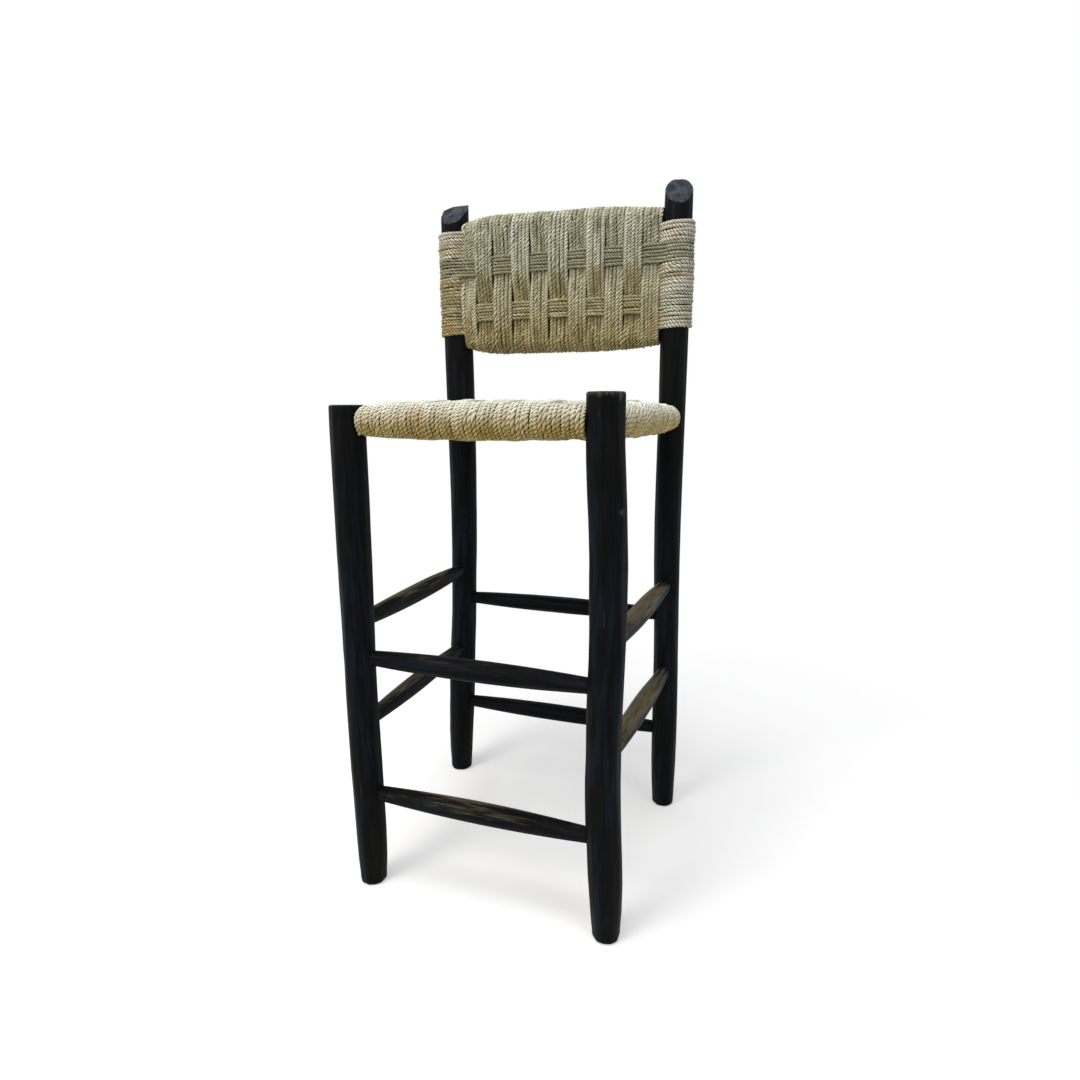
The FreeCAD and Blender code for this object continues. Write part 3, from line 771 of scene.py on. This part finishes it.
def read_route(controls):
    """Even points along the NURBS line of the given control points."""
    line = bpy.data.curves.new("route", "CURVE")
    line.dimensions = "3D"
    line.resolution_u = 8
    spline = line.splines.new("NURBS")
    spline.points.add(len(controls) - 1)
    spline.points.foreach_set("co", np.array([(*place, 1.0) for place in controls]).ravel())
    spline.order_u = 3
    spline.use_endpoint_u = True
    holder = bpy.data.objects.new("route", line)
    mesh = bpy.data.meshes.new_from_object(holder)
    places = np.zeros(len(mesh.vertices) * 3)
    mesh.vertices.foreach_get("co", places)
    places = places.reshape(-1, 3)
    bpy.data.objects.remove(holder)
    bpy.data.curves.remove(line)
    bpy.data.meshes.remove(mesh)
    lengths = np.concatenate(([0.0], np.cumsum(np.linalg.norm(np.diff(places, axis=0), axis=1))))
    steps = np.linspace(0, lengths[-1], max(2, round(lengths[-1] / twist_step)))
    return np.stack([np.interp(steps, lengths, places[:, axis]) for axis in range(3)], axis=1), steps


short_route = [Vector((place, 0, 0)) for place in (0, 0.05, 0.1)]
print("a route of 0.1 m is read at", len(read_route(short_route)[1]), "points")

# %% [markdown]
# ## Plies twisted along a route
# The even points go to a second line, whose cross-section is the two plies and whose tilt grows along it.
# That twists the plies round each other as a rope maker would, here tighter and there slacker, as a hand
# does. A Screw modifier would twist them too, but only along a straight line. The tone changes from stretch
# to stretch of a cord. The far right of the stool is painted paler as painted light. An upright band of the
# back is painted paler where it lies over a level band, as painted light on a proud part, and darker where it
# dips, as painted shade, and it is paler along its two edges.

# %% Twisted line
# Painted light from above grows on a cord from a low to a high place, and painted light grows by a share to
# the right. The proud side of an upright band is 1 if it lies over the upper level band and -1 if over the
# lower one, and every other cord has 0. It sets painted light on the proud parts and painted shade where a
# band dips.
CordStyle = namedtuple("CordStyle", (
    "slot", "finish", "thickness", "run_length", "bleach_low", "bleach_high", "bleach_right", "proud_side"))

twist_length = 11 * millimetre
twist_variety = 0.3
thickness_variety = 0.08
tone_wave = 16 * millimetre
run_variety = 0.16
wave_variety = 0.18
longest_lay_start = 9
# Painted light towards the right: where it starts and ends, and how much it lifts the tone
right_painted_light_places = (0.172, 0.19)
right_painted_light_tone = 0.3
edge_tone = 0.12
edge_start = 0.6
# Painted light on the proud parts of the back's upright bands and painted shade where they dip, by height
proud_heights = (0.865, 0.905, 0.952, 0.966)
proud_shares = (0, -1, -1, 0.6)
proud_painted_light_tone = 0.12


def twisted_line(name, style, control_lists, draw, tone_middle):
    """A mesh of twisted plies along one or more routes, with the lay and the tone of its points."""
    line = bpy.data.curves.new(name, "CURVE")
    line.dimensions = "3D"
    line.bevel_mode = "OBJECT"
    line.bevel_object = profile
    line.use_fill_caps = False
    lays = []
    tones = []
    for controls in control_lists:
        places, steps = read_route(controls)
        spline = line.splines.new("POLY")
        spline.points.add(len(places) - 1)
        spline.points.foreach_set("co", np.column_stack((places, np.ones(len(places)))).ravel())
        waves = np.arange(0, steps[-1] + 2 * tone_wave, tone_wave)
        twist = np.interp(steps, waves, draw.normal(1.0, twist_variety, len(waves)))
        turned = np.cumsum(twist) * twist_step * math.tau / twist_length
        spline.points.foreach_set("tilt", turned + draw.uniform(0, math.tau))
        thick = style.thickness * np.interp(steps, waves, draw.normal(1.0, thickness_variety, len(waves)))
        spline.points.foreach_set("radius", thick)
        runs = np.arange(0, steps[-1] + 2 * style.run_length, style.run_length)
        tone = np.interp(steps, runs, draw.normal(tone_middle, run_variety, len(runs)))
        tone += np.interp(steps, waves, draw.normal(0, wave_variety, len(waves)))
        # Painted light lifts the tone towards the right and on proud parts, with painted shade where a band
        # dips
        tone += right_painted_light_tone * style.bleach_right * np.interp(places[:, 0], right_painted_light_places, (0, 1))
        tone += proud_painted_light_tone * style.proud_side * np.interp(places[:, 2], proud_heights, proud_shares)
        tone += edge_tone * abs(style.proud_side) * (np.abs(2 * steps / steps[-1] - 1) > edge_start)
        lay_steps = steps + draw.uniform(0, longest_lay_start)
        lays.append(np.array([(x, y, along) for along in lay_steps for x, y in profile_places]))
        tones.append(np.repeat(tone, ply_points))
    holder = add_object(name + "_line", line)
    graph = bpy.context.evaluated_depsgraph_get()
    mesh = bpy.data.meshes.new_from_object(holder.evaluated_get(graph))
    bpy.data.objects.remove(holder)
    bpy.data.curves.remove(line)
    return mesh, np.concatenate(lays), np.concatenate(tones)


print("a twist is", round(twist_length / twist_step, 1), "steps long")

# %% [markdown]
# ## A finished cord
# Light from above is painted on a cord as paler colour between two heights, and rust has stained the front
# of the seat. Both could come from gradients in the finish, but the seat and the back would each need their
# own, so every point of a cord carries its own share of them. The open ends of the mesh are filled, so that
# it is a closed shape.

# %% Finished cord
cord_variety = 0.08
# How much painted light from above a cord takes at most, and how much on the proud parts of the back's bands
most_painted_light = 0.95
proud_painted_light = 0.2
rust_place = Vector((-0.066, -0.21, 0.706))
rust_reach = 30 * millimetre
most_rust = 0.7


def twisted_cord(node, style, control_lists, seed, tone_middle):
    """One piece of twisted cord along one or more routes, standing for a solid of the frame."""
    draw = np.random.default_rng(seed)
    name = "cord_" + node
    tone_here = tone_middle + draw.normal(0, cord_variety)
    mesh, lay, tone = twisted_line(name, style, control_lists, draw, tone_here)
    places = np.zeros(len(lay) * 3)
    mesh.vertices.foreach_get("co", places)
    # Painted light from above and towards the right
    from_above = np.interp(places[2::3], (style.bleach_low, style.bleach_high), (0, most_painted_light))
    from_right = np.interp(places[0::3], right_painted_light_places, (0, style.bleach_right))
    bleach = np.maximum(from_above ** 2 * (3 - 2 * from_above), from_right)
    # Painted light on the proud parts of the back's bands and painted shade where they dip
    bleach += proud_painted_light * style.proud_side * np.interp(places[2::3], proud_heights, proud_shares)
    rust_distance = np.linalg.norm(places.reshape(-1, 3) - rust_place, axis=1)
    values = {
        "rust": np.interp(rust_distance, (0, rust_reach), (most_rust, 0)),
        "tone": tone,
        "painted_shade": np.tile(profile_groove_shades, len(lay) // ply_points),
        "bleach": np.clip(bleach, 0, 1),
    }
    for label, numbers in values.items():
        mesh.attributes.new(label, "FLOAT", "POINT").data.foreach_set("value", numbers)
    mesh.attributes.new("lay", "FLOAT_VECTOR", "POINT").data.foreach_set("vector", lay.ravel())
    mesh.polygons.foreach_set("use_smooth", [True] * len(mesh.polygons))
    model = bmesh.new()
    model.from_mesh(mesh)
    bmesh.ops.holes_fill(model, edges=[edge for edge in model.edges if edge.is_boundary], sides=0)
    model.to_mesh(mesh)
    model.free()
    mesh.name = name
    show_mesh(mesh, name, node, style.slot, style.finish)


print("the stain on the seat is", round(2 * rust_reach / millimetre), "mm wide")

# %% [markdown]
# ## Bars that carry cord
# The level bands of the back go round the posts themselves, so a stretch of a post has to serve as a bar too.
# A cord's line lies half a cord off the wood. Where padding lies under it, near the slim ends of a bar, it
# lies further out. Shrinkwrap could lay a line on the wood, but the radius is already known.

# %% Bars that carry cord
cord_seat = 2.9 * millimetre
padding_lean = 0.8


class PostStretch:
    """The stretch of a post between two heights, used as a bar."""

    def __init__(self, post, low, high):
        self.post = post
        self.padding = 0.0
        self.low = low
        self.length = high - low

    def at(self, share):
        return post_at(self.post, self.low + self.length * share)[0]

    def radius(self, share):
        return post_at(self.post, self.low + self.length * share)[1]


def cord_circle(bar, share):
    """Radius of the cord's line round a bar. Padding fills out its slim ends, more so at the first one."""
    middle_distance = (2 * share - 1) ** 2
    fill = max(0.0, 4 * middle_distance * (1 - middle_distance)) * (1 + padding_lean * (1 - 2 * share))
    return bar.radius(share) + cord_seat + bar.padding * fill


print("a cord's line round the footrest:", round(2 * cord_circle(footrest, 0.5) / millimetre, 1), "mm across")

# %% [markdown]
# ## A panel between four bars
# The seat and the back are each a panel with two faces. Its warp bands lie on two bars, and its weft bands
# on the other two. A grid of points could be bent into that shape, but a place is worked out here when
# a cord asks for it: from its share of the way across, its share of the way along, and its height.

# %% Panel
flare_length = 12 * millimetre


class Panel:
    """The two faces of cord between four bars."""

    def __init__(self, near, far, left, right, along, out, pillowed):
        self.near, self.far, self.left, self.right = near, far, left, right
        self.along, self.out, self.pillowed = along, out, pillowed
        self.flare = 0.0
        self.warps = []
        self.wefts = []

    def level(self, across, along):
        """Height of a face over the middle. A flare lifts the first cords over the winding on the post."""
        level = cord_circle(self.near, across)
        level += self.flare * max(0.0, 1 - across * self.near.length / flare_length)
        if self.pillowed:
            level = max(level, cord_circle(self.left, along))
        return level

    def point(self, across, along, height):
        weft = self.left.at(along).lerp(self.right.at(along), across)
        start = self.near.at(across)
        line = self.far.at(across) - start
        reach = self.along.dot(weft - start) / self.along.dot(line)
        return start + line * reach + self.out * height


print("a flare fades out over", round(flare_length / millimetre), "mm")

# %% [markdown]
# ## Bands wound round the bars
# A band goes over the top face, round the far bar and back under the lower face, turn by turn. Control points
# stand on an octagon round each bar, which the NURBS line rounds off nearly to a circle, and where the cord
# leaves the bar on a straight line. A little wander at every point makes the band look wound by hand.

# %% Wound panel
hand_wander = 0.5 * millimetre
corner_angles = [math.radians(angle) for angle in (22.5, 67.5, 112.5, 157.5)]
corner_stretch = 1 / math.cos(math.radians(22.5))


class WoundPanel(Panel):
    """A panel with bands that go round its bars."""

    def corners(self, bar, shares, outward, to_lower):
        """Control points round a bar, from one face to the other."""
        places = []
        for number, angle in enumerate(corner_angles):
            share = shares[0] + (shares[1] - shares[0]) * (number + 0.5) / len(corner_angles)
            turn = angle if to_lower else math.pi - angle
            spoke = self.out * math.cos(turn) + outward * math.sin(turn)
            places.append(bar.at(share) + spoke * cord_circle(bar, share) * corner_stretch)
        return places

    def crown(self, bar, share, face, inward, target):
        """Control points from the crown of a bar to where a straight cord to the target leaves it."""
        circle = cord_circle(bar, share)
        offset = target - bar.at(share)
        height = self.out.dot(offset) * face
        inset = inward.dot(offset)
        leaving = math.atan2(inset, height) - math.acos(min(1.0, circle / math.hypot(height, inset)))
        angles = (0.0, leaving / 2, leaving) if leaving > 0 else (0.0,)
        places = []
        for angle in angles:
            stretch = 1 / math.cos(leaving / 2) if angle == leaving / 2 else 1.0
            spoke = self.out * face * math.cos(angle) + inward * math.sin(angle)
            places.append(bar.at(share) + spoke * circle * stretch)
        return places

    def band(self, near, far, run, spacing, outward, draw):
        """Control points of a whole band, turn by turn. Its spacing is its middle, pitch and turns."""
        middle, pitch, turns = spacing

        def share_at(turn):
            return middle + (turn - (turns - 1) / 2) * pitch

        places = []
        for turn in range(turns):
            here = share_at(turn)
            half = share_at(turn + 0.5)
            upper = run(here, 1)
            lower = run(half, -1)
            places += self.corners(near, (share_at(turn - 0.5), here), -outward, False)
            places += self.crown(near, here, 1, outward, upper[0]) + upper
            places += self.crown(far, here, 1, -outward, upper[-1])[::-1]
            places += self.corners(far, (here, half), outward, True)
            places += self.crown(far, half, -1, -outward, lower[-1]) + lower[::-1]
            places += self.crown(near, half, -1, outward, lower[0])[::-1]
        return [place + Vector(draw.normal(0, hand_wander, 3)) for place in places]


print("corners round a bar", len(corner_angles))

# %% [markdown]
# ## Over and under
# Weft bands go over one warp band and under the next, on both faces, and each row starts the other way round.
# Physics could settle the cords, but two control points at each crossing, one at either side, are enough.
# They lift a cord where it lies on top and lower it where it lies below.

# %% Woven panel
warp_wave = 4.2 * millimetre
warp_plateau = 9 * millimetre
weft_wave = 2.8 * millimetre


class WovenPanel(WoundPanel):
    """A panel whose warp and weft bands cross."""

    def warp(self, band, draw):
        """Control points of a warp band, over and under the wefts."""

        def run(across, face):
            places = []
            for row, (weft_middle, weft_pitch, weft_turns) in enumerate(self.wefts):
                over = 1 if (band + row) % 2 == 0 else -1
                reach = weft_turns * weft_pitch / 2 + warp_plateau / self.left.length
                for side in (-1, 1):
                    along = weft_middle + side * reach
                    height = self.level(across, along) + warp_wave * over
                    places.append(self.point(across, along, height * face))
            return places

        return self.band(self.near, self.far, run, self.warps[band], self.along, draw)

    def weft(self, row, draw):
        """Control points of a weft band, over and under the warps."""

        def run(along, face):
            places = []
            for band, (warp_middle, warp_pitch, warp_turns) in enumerate(self.warps):
                over = -1 if (band + row) % 2 == 0 else 1
                for side in (-1, 1):
                    across = warp_middle + side * (warp_turns - 1) * warp_pitch / 2
                    height = self.level(across, along) + weft_wave * over
                    places.append(self.point(across, along, height * face))
            return places

        across_way = (self.right.at(0.5) - self.left.at(0.5)).normalized()
        return self.band(self.left, self.right, run, self.wefts[row], across_way, draw)


print("at a crossing two cords are about", round((warp_wave + weft_wave) / millimetre), "mm apart")

# %% [markdown]
# ## Warp bands and stuffing
# The warp bands share out the room between two posts, so a row of widths is all that a panel needs. A mat
# of straw is hidden between its two faces, where it stops the light that would come through the gaps. It
# could be a heap of loose straw, but only a dark ground is ever seen, so a thick sheet is enough, painted
# dark as the shade between the two faces.

# %% Warp bands and stuffing
band_turns = 5
band_squeeze = 0.04
stuffing_thickness = 11 * millimetre
# How dark the stuffing is painted, as the shade between the two faces
stuffing_painted_shade = 0.85
stuffing_inset = 0.045


def add_warps(panel, band_shares, left_press, right_press):
    """Share the room between the posts out to the warp bands, each filled with evenly spaced cords.

    The outer cords press into the posts, and the cords of a band are squeezed, which leaves a thin gap
    between two bands.
    """
    width = panel.near.length + left_press + right_press
    edge = -left_press
    for share in band_shares:
        band_width = width * share / sum(band_shares)
        middle = (edge + band_width / 2) / panel.near.length
        pitch = band_width / (band_turns + band_squeeze) / panel.near.length
        panel.warps.append((middle, pitch, band_turns))
        edge += band_width


def add_stuffing(panel, name, slot, finish):
    """A mat of straw between the two faces, painted dark as the shade there."""
    model = bmesh.new()
    painted_shade = model.verts.layers.float.new("painted_shade")
    ends = (stuffing_inset, 1 - stuffing_inset)
    corners = [panel.near.at(end) for end in ends] + [panel.far.at(end) for end in reversed(ends)]
    face = model.faces.new([model.verts.new(place - panel.out * stuffing_thickness / 2) for place in corners])
    for vert in model.verts:
        vert[painted_shade] = stuffing_painted_shade
    face.normal_update()
    bmesh.ops.solidify(model, geom=[face], thickness=stuffing_thickness)
    bmesh.ops.recalc_face_normals(model, faces=model.faces)
    show_model(model, name, None, slot, finish)


print("turns in a warp band", band_turns)

# %% [markdown]
# ## Windings
# Where no band goes round a bar, it is wound with cord like a handle. A Screw modifier could make a spiral,
# but posts lean and rails swell, so control points are set round the bar itself, twelve to a turn. The ends
# lie on a side that isn't seen.

# %% Windings
coil_points = 12
coil_stretch = 1 / math.cos(math.pi / coil_points)


def coil(bar, start, finish, turns, hidden, draw):
    """Control points of a winding between two shares of a bar's length, with its ends on a hidden side."""
    axis = (bar.at(1) - bar.at(0)).normalized()
    outward = (hidden - axis * axis.dot(hidden)).normalized()
    sideways = axis.cross(outward)
    places = []
    for number in range(coil_points * turns + 1):
        share = start + (finish - start) * number / (coil_points * turns)
        angle = math.tau * number / coil_points
        spoke = outward * math.cos(angle) + sideways * math.sin(angle)
        place = bar.at(share) + spoke * cord_circle(bar, share) * coil_stretch
        places.append(place + Vector(draw.normal(0, hand_wander, 3)))
    return places


print("control points in a turn", coil_points)

# %% [markdown]
# ## The seat's panel
# The photograph looks along the seat, so only its front and right rolls show, and a hint of level bands over
# the crown. A plain cushion would look much the same from there, but a seat that is woven like the back is
# right from every side.

# %% Seat panel
seat_bands = 11
seat_rows = 4
row_turns = 6
seat_row_pitch = 5.6 * millimetre
seat_left_press = 0.5 * millimetre
seat_right_press = 4 * millimetre

seat = WovenPanel(seat_bars["seat_front_rail"], seat_bars["seat_back_rail"], seat_bars["seat_left_rail"],
                  seat_bars["seat_right_rail"], Vector((0, 1, 0)), Vector((0, 0, 1)), True)
add_warps(seat, [1] * seat_bands, seat_left_press, seat_right_press)
add_stuffing(seat, "seat_stuffing", "seat_cord", seat_finish)
row_share = row_turns * seat_row_pitch / seat.left.length
gap_share = (1 - seat_rows * row_share) / (seat_rows + 1)
for row in range(seat_rows):
    seat.wefts.append(((row + 1) * (gap_share + row_share) - row_share / 2, row_share / row_turns, row_turns))
print("seat bands", len(seat.warps), "and rows", len(seat.wefts))

# %% [markdown]
# ## The seat's cords
# Each band is one cord. Cords that are a little thicker than their spacing press together, as they do on the
# real seat. The crown is painted nearly white as painted light from above, and the rolls are painted golden
# lower down as painted shade.

# %% Seat cords
fullness = 1.12
# Painted light from above between these heights, and a little towards the right
seat_painted_light_heights = (0.697, 0.734)
seat_right_painted_light = 0.1
seat_run_length = 0.45
seat_tone = 0.5

seat_warp_pitch = seat.near.length / (seat_bands * band_turns)
seat_warp_style = CordStyle("seat_cord", seat_finish, fullness * seat_warp_pitch / cord_width,
                            seat_run_length, *seat_painted_light_heights, seat_right_painted_light, 0)
seat_weft_style = seat_warp_style._replace(thickness=fullness * seat_row_pitch / cord_width)
for band in range(seat_bands):
    node = "seat_warp_band_%02d" % (band + 1)
    controls = seat.warp(band, np.random.default_rng(200 + band))
    twisted_cord(node, seat_warp_style, [controls], 300 + band, seat_tone)
for row in range(seat_rows):
    node = "seat_weft_band_%d" % (row + 1)
    controls = seat.weft(row, np.random.default_rng(230 + row))
    twisted_cord(node, seat_weft_style, [controls], 330 + row, seat_tone)
print("cord on the seat is", round(seat_warp_style.thickness * cord_width / millimetre, 1), "mm thick")

# %% [markdown]
# ## Windings on the side rails
# Between the level bands the side rails would be bare, so short windings fill them. The windings of one rail
# could be five pieces, but one solid of the frame stands for all of them, so they are five routes of one
# piece.

# %% Seat windings
winding_pitch = 5.9 * millimetre
seat_winding_tone = 0.8

side_rails = (("seat_left_windings", seat.left), ("seat_right_windings", seat.right))
for number, (node, bar) in enumerate(side_rails):
    draw = np.random.default_rng(250 + number)
    coils = []
    for gap in range(seat_rows + 1):
        start = gap * (gap_share + row_share)
        turns = round(gap_share * bar.length / winding_pitch)
        coils.append(coil(bar, start, start + gap_share, turns, Vector((0, 0, -1)), draw))
    twisted_cord(node, seat_weft_style, coils, 350 + number, seat_winding_tone)
print("side rail windings", len(side_rails))

# %% [markdown]
# ## The back's panel
# Eleven upright bands of unequal width go round two hidden rails, and two level bands go round both posts.
# The rails slope and the level bands don't, so both posts are read between the same two heights. Padding
# fills out the slim ends of the rails, and the first cords ride up over the left post's winding. The widths
# could be drawn at random, but these were read from the photograph.

# %% Back panel
back_band_shares = (28, 34, 36, 34, 33, 36, 32, 31, 32, 30, 31)
back_row_pitch = 5.3 * millimetre
lower_row_rise = 45 * millimetre
upper_row_drop = 65 * millimetre
back_left_press = 6 * millimetre
back_right_press = 0.5 * millimetre
back_left_flare = 5 * millimetre
back_padding = 2.5 * millimetre

left_post = PostStretch("back_left_post", bottom_rail_heights[0], top_rail_heights[0])
right_post = PostStretch("back_right_post", bottom_rail_heights[0], top_rail_heights[0])
back = WovenPanel(back_bars["back_bottom_rail"], back_bars["back_top_rail"], left_post, right_post,
                  Vector((0, 0, 1)), Vector((0, -1, 0)), False)
for bar in back_bars.values():
    bar.padding = back_padding
back.flare = back_left_flare
add_warps(back, back_band_shares, back_left_press, back_right_press)
add_stuffing(back, "back_stuffing", "back_cord", back_finish)
row_pitch_share = back_row_pitch / left_post.length
lower_row = lower_row_rise / left_post.length
upper_row = 1 - upper_row_drop / left_post.length
for row_middle in (lower_row, upper_row):
    back.wefts.append((row_middle, row_pitch_share, row_turns))
print("back bands", len(back.warps), "and rows", len(back.wefts))

# %% [markdown]
# ## The back's cords
# The back is painted paler towards its top as painted light from above, and its lower part keeps more colour
# as painted shade. Two finishes could be mixed by hand, but the painted light on each cord already follows
# its height. Every other band lies over the upper row, and those between lie over the lower one.

# %% Back cords
row_fullness = 1.0
# Painted light from above between these heights
back_painted_light_heights = (0.825, 1.04)
back_run_length = 0.23
weft_run_length = 0.45
back_warp_tone = 0.3

back_warp_pitch = back.near.length / (len(back_band_shares) * band_turns)
back_warp_style = CordStyle("back_cord", back_finish, fullness * back_warp_pitch / cord_width,
                            back_run_length, *back_painted_light_heights, 0.0, 0)
# The level bands and the windings made from them are painted paler to the right in full, as painted light
back_weft_style = CordStyle("winding_cord", back_finish, row_fullness * back_row_pitch / cord_width,
                            weft_run_length, *back_painted_light_heights, 1.0, 0)
for band in range(len(back_band_shares)):
    node = "back_warp_band_%02d" % (band + 1)
    controls = back.warp(band, np.random.default_rng(400 + band))
    # Painted light on the proud parts of a band and painted shade where it dips
    band_style = back_warp_style._replace(proud_side=1 if band % 2 else -1)
    twisted_cord(node, band_style, [controls], 500 + band, back_warp_tone)
for row, (node, tone) in enumerate((("back_lower_weft", 0.34), ("back_upper_weft", 0.02))):
    controls = back.weft(row, np.random.default_rng(430 + row))
    twisted_cord(node, back_weft_style, [controls], 530 + row, tone)
print("cord on the back is", round(back_warp_style.thickness * cord_width / millimetre, 1), "mm thick")

# %% [markdown]
# ## Windings on the back posts
# The rest of each post is wound with the same cord, tan on the left, where hands have held it, and painted
# paler on the right as painted light. One long spiral could run under the level bands, but it would push them
# out, so each post has three windings that stop at the bands. After them the ply section is needed no more,
# and it is removed.

# %% Post windings
winding_run_length = 0.35
half_row = row_turns * row_pitch_share / 2
winding_style = back_weft_style._replace(finish=winding_finish, run_length=winding_run_length,
                                         thickness=fullness * winding_pitch / cord_width)

# Each post's lowest and highest winding, and their tone
windings = (("left", left_post, 0.860, 1.038, 0.4), ("right", right_post, 0.857, 1.024, 0.6))
for label, post, low, high, tone in windings:
    stretches = (
        ("bottom", (low - post.low) / post.length, lower_row - half_row),
        ("middle", lower_row + half_row, upper_row - half_row),
        ("top", upper_row + half_row, (high - post.low) / post.length),
    )
    for number, (place, start, finish) in enumerate(stretches):
        node = "%s_post_%s_winding" % (label, place)
        turns = max(1, round((finish - start) * post.length / winding_pitch))
        controls = coil(post, start, finish, turns, Vector((0, 1, 0)), np.random.default_rng(450 + number))
        twisted_cord(node, winding_style, [controls], 550 + number, tone)
bpy.data.objects.remove(profile)
bpy.data.curves.remove(profile_curve)
print("post windings", len(windings) * len(stretches))

# %% [markdown]
# ## The floor
# The photograph has a plain white ground. A pale floor takes the stool's soft shadow and fades out towards
# its rim, where a backdrop would show a line. More light would make it white, but would wash out the stool
# too. So it is lifted to white for the camera and reflections alone, and throws no more light on the stool.

# %% Floor
floor_half_width = 3.0
floor_fade = (0.5, 1.3)
floor_lift = 0.34

floor_model = bmesh.new()
bmesh.ops.create_grid(floor_model, x_segments=1, y_segments=1, size=floor_half_width)
floor_mesh = bpy.data.meshes.new("floor")
floor_model.to_mesh(floor_mesh)
floor_model.free()
floor = add_object("floor", floor_mesh)
floor_finish, floor_tree, floor_shader = new_finish("matt_white_paper")
floor_shader.inputs["Base Color"].default_value = colour("#f6f6f6")
floor_shader.inputs["Roughness"].default_value = 0.9
floor_shader.inputs["Specular IOR Level"].default_value = 0.1
floor_shader.inputs["Emission Color"].default_value = colour("#ffffff")
floor_ray = add_node(floor_tree, "ShaderNodeLightPath")
floor_seen = add_node(floor_tree, "ShaderNodeMath", {"operation": "MAXIMUM"}, {
    0: floor_ray.outputs["Is Camera Ray"], 1: floor_ray.outputs["Is Glossy Ray"]})
lift = add_node(floor_tree, "ShaderNodeMath", {"operation": "MULTIPLY"}, {
    0: floor_seen.outputs["Value"], 1: floor_lift})
floor_tree.links.new(lift.outputs["Value"], floor_shader.inputs["Emission Strength"])
place = add_node(floor_tree, "ShaderNodeTexCoord")
distance = add_node(floor_tree, "ShaderNodeVectorMath", {"operation": "LENGTH"}, {0: place.outputs["Object"]})
presence = add_node(floor_tree, "ShaderNodeMapRange", {"interpolation_type": "SMOOTHSTEP"}, {
    "Value": distance.outputs["Value"], "From Min": floor_fade[0], "From Max": floor_fade[1],
    "To Min": 1.0, "To Max": 0.0})
floor_tree.links.new(presence.outputs["Result"], floor_shader.inputs["Alpha"])
floor_mesh.materials.append(floor_finish)
print("floor", 2 * floor_half_width, "m wide, gone at", floor_fade[1], "m from the middle")

# %% [markdown]
# ## The world
# Round the stool everything is white. A bright world would light the stool too much, so the world is white
# only where the camera, a reflection or a clear surface looks at it, and a dimmer soft white as a light.

# %% World
soft_light = 0.35
world = bpy.data.worlds.new("studio")
world.use_nodes = True
world_tree = world.node_tree
world_tree.nodes.clear()
ray = add_node(world_tree, "ShaderNodeLightPath")
mirrored = add_node(world_tree, "ShaderNodeMath", {"operation": "MAXIMUM"}, {
    0: ray.outputs["Is Glossy Ray"], 1: ray.outputs["Is Transmission Ray"]})
seen = add_node(world_tree, "ShaderNodeMath", {"operation": "MAXIMUM"}, {
    0: ray.outputs["Is Camera Ray"], 1: mirrored.outputs["Value"]})
white = add_node(world_tree, "ShaderNodeBackground", None, {"Color": (1, 1, 1, 1), "Strength": 1.0})
soft = add_node(world_tree, "ShaderNodeBackground", None, {
    "Color": colour("#fbfcff"), "Strength": soft_light})
choice = add_node(world_tree, "ShaderNodeMixShader", None, {
    "Fac": seen.outputs["Value"], 1: soft.outputs["Background"], 2: white.outputs["Background"]})
add_node(world_tree, "ShaderNodeOutputWorld", None, {"Surface": choice.outputs["Shader"]})
bpy.context.scene.world = world
print("soft light from the world", soft_light)

# %% [markdown]
# ## Lamps
# Soft light comes from above, with a warm lamp at the front left and a cool, weaker one at the right. A sun
# would give hard shadows, which the photograph doesn't have, so all three are wide discs.

# %% Lamps
def add_lamp(name, place, target, size, power, code):
    data = bpy.data.lights.new(name, "AREA")
    data.shape = "DISK"
    data.size = size
    data.energy = power
    data.color = colour(code)[:3]
    lamp = add_object(name, data)
    lamp.location = place
    lamp.rotation_euler = (Vector(target) - Vector(place)).to_track_quat("-Z", "Y").to_euler()


stool_middle = (0.0, 0.0, 0.6)
add_lamp("top", (-0.3, -0.7, 3.0), stool_middle, 1.8, 40, "#ffffff")
add_lamp("key", (-1.4, -2.6, 2.0), stool_middle, 1.6, 40, "#fffaf2")
add_lamp("fill", (2.4, -1.6, 1.8), stool_middle, 1.6, 14, "#f4f7ff")
bpy.context.scene.view_settings.view_transform = "Standard"
print("lamps", len(bpy.data.lights))
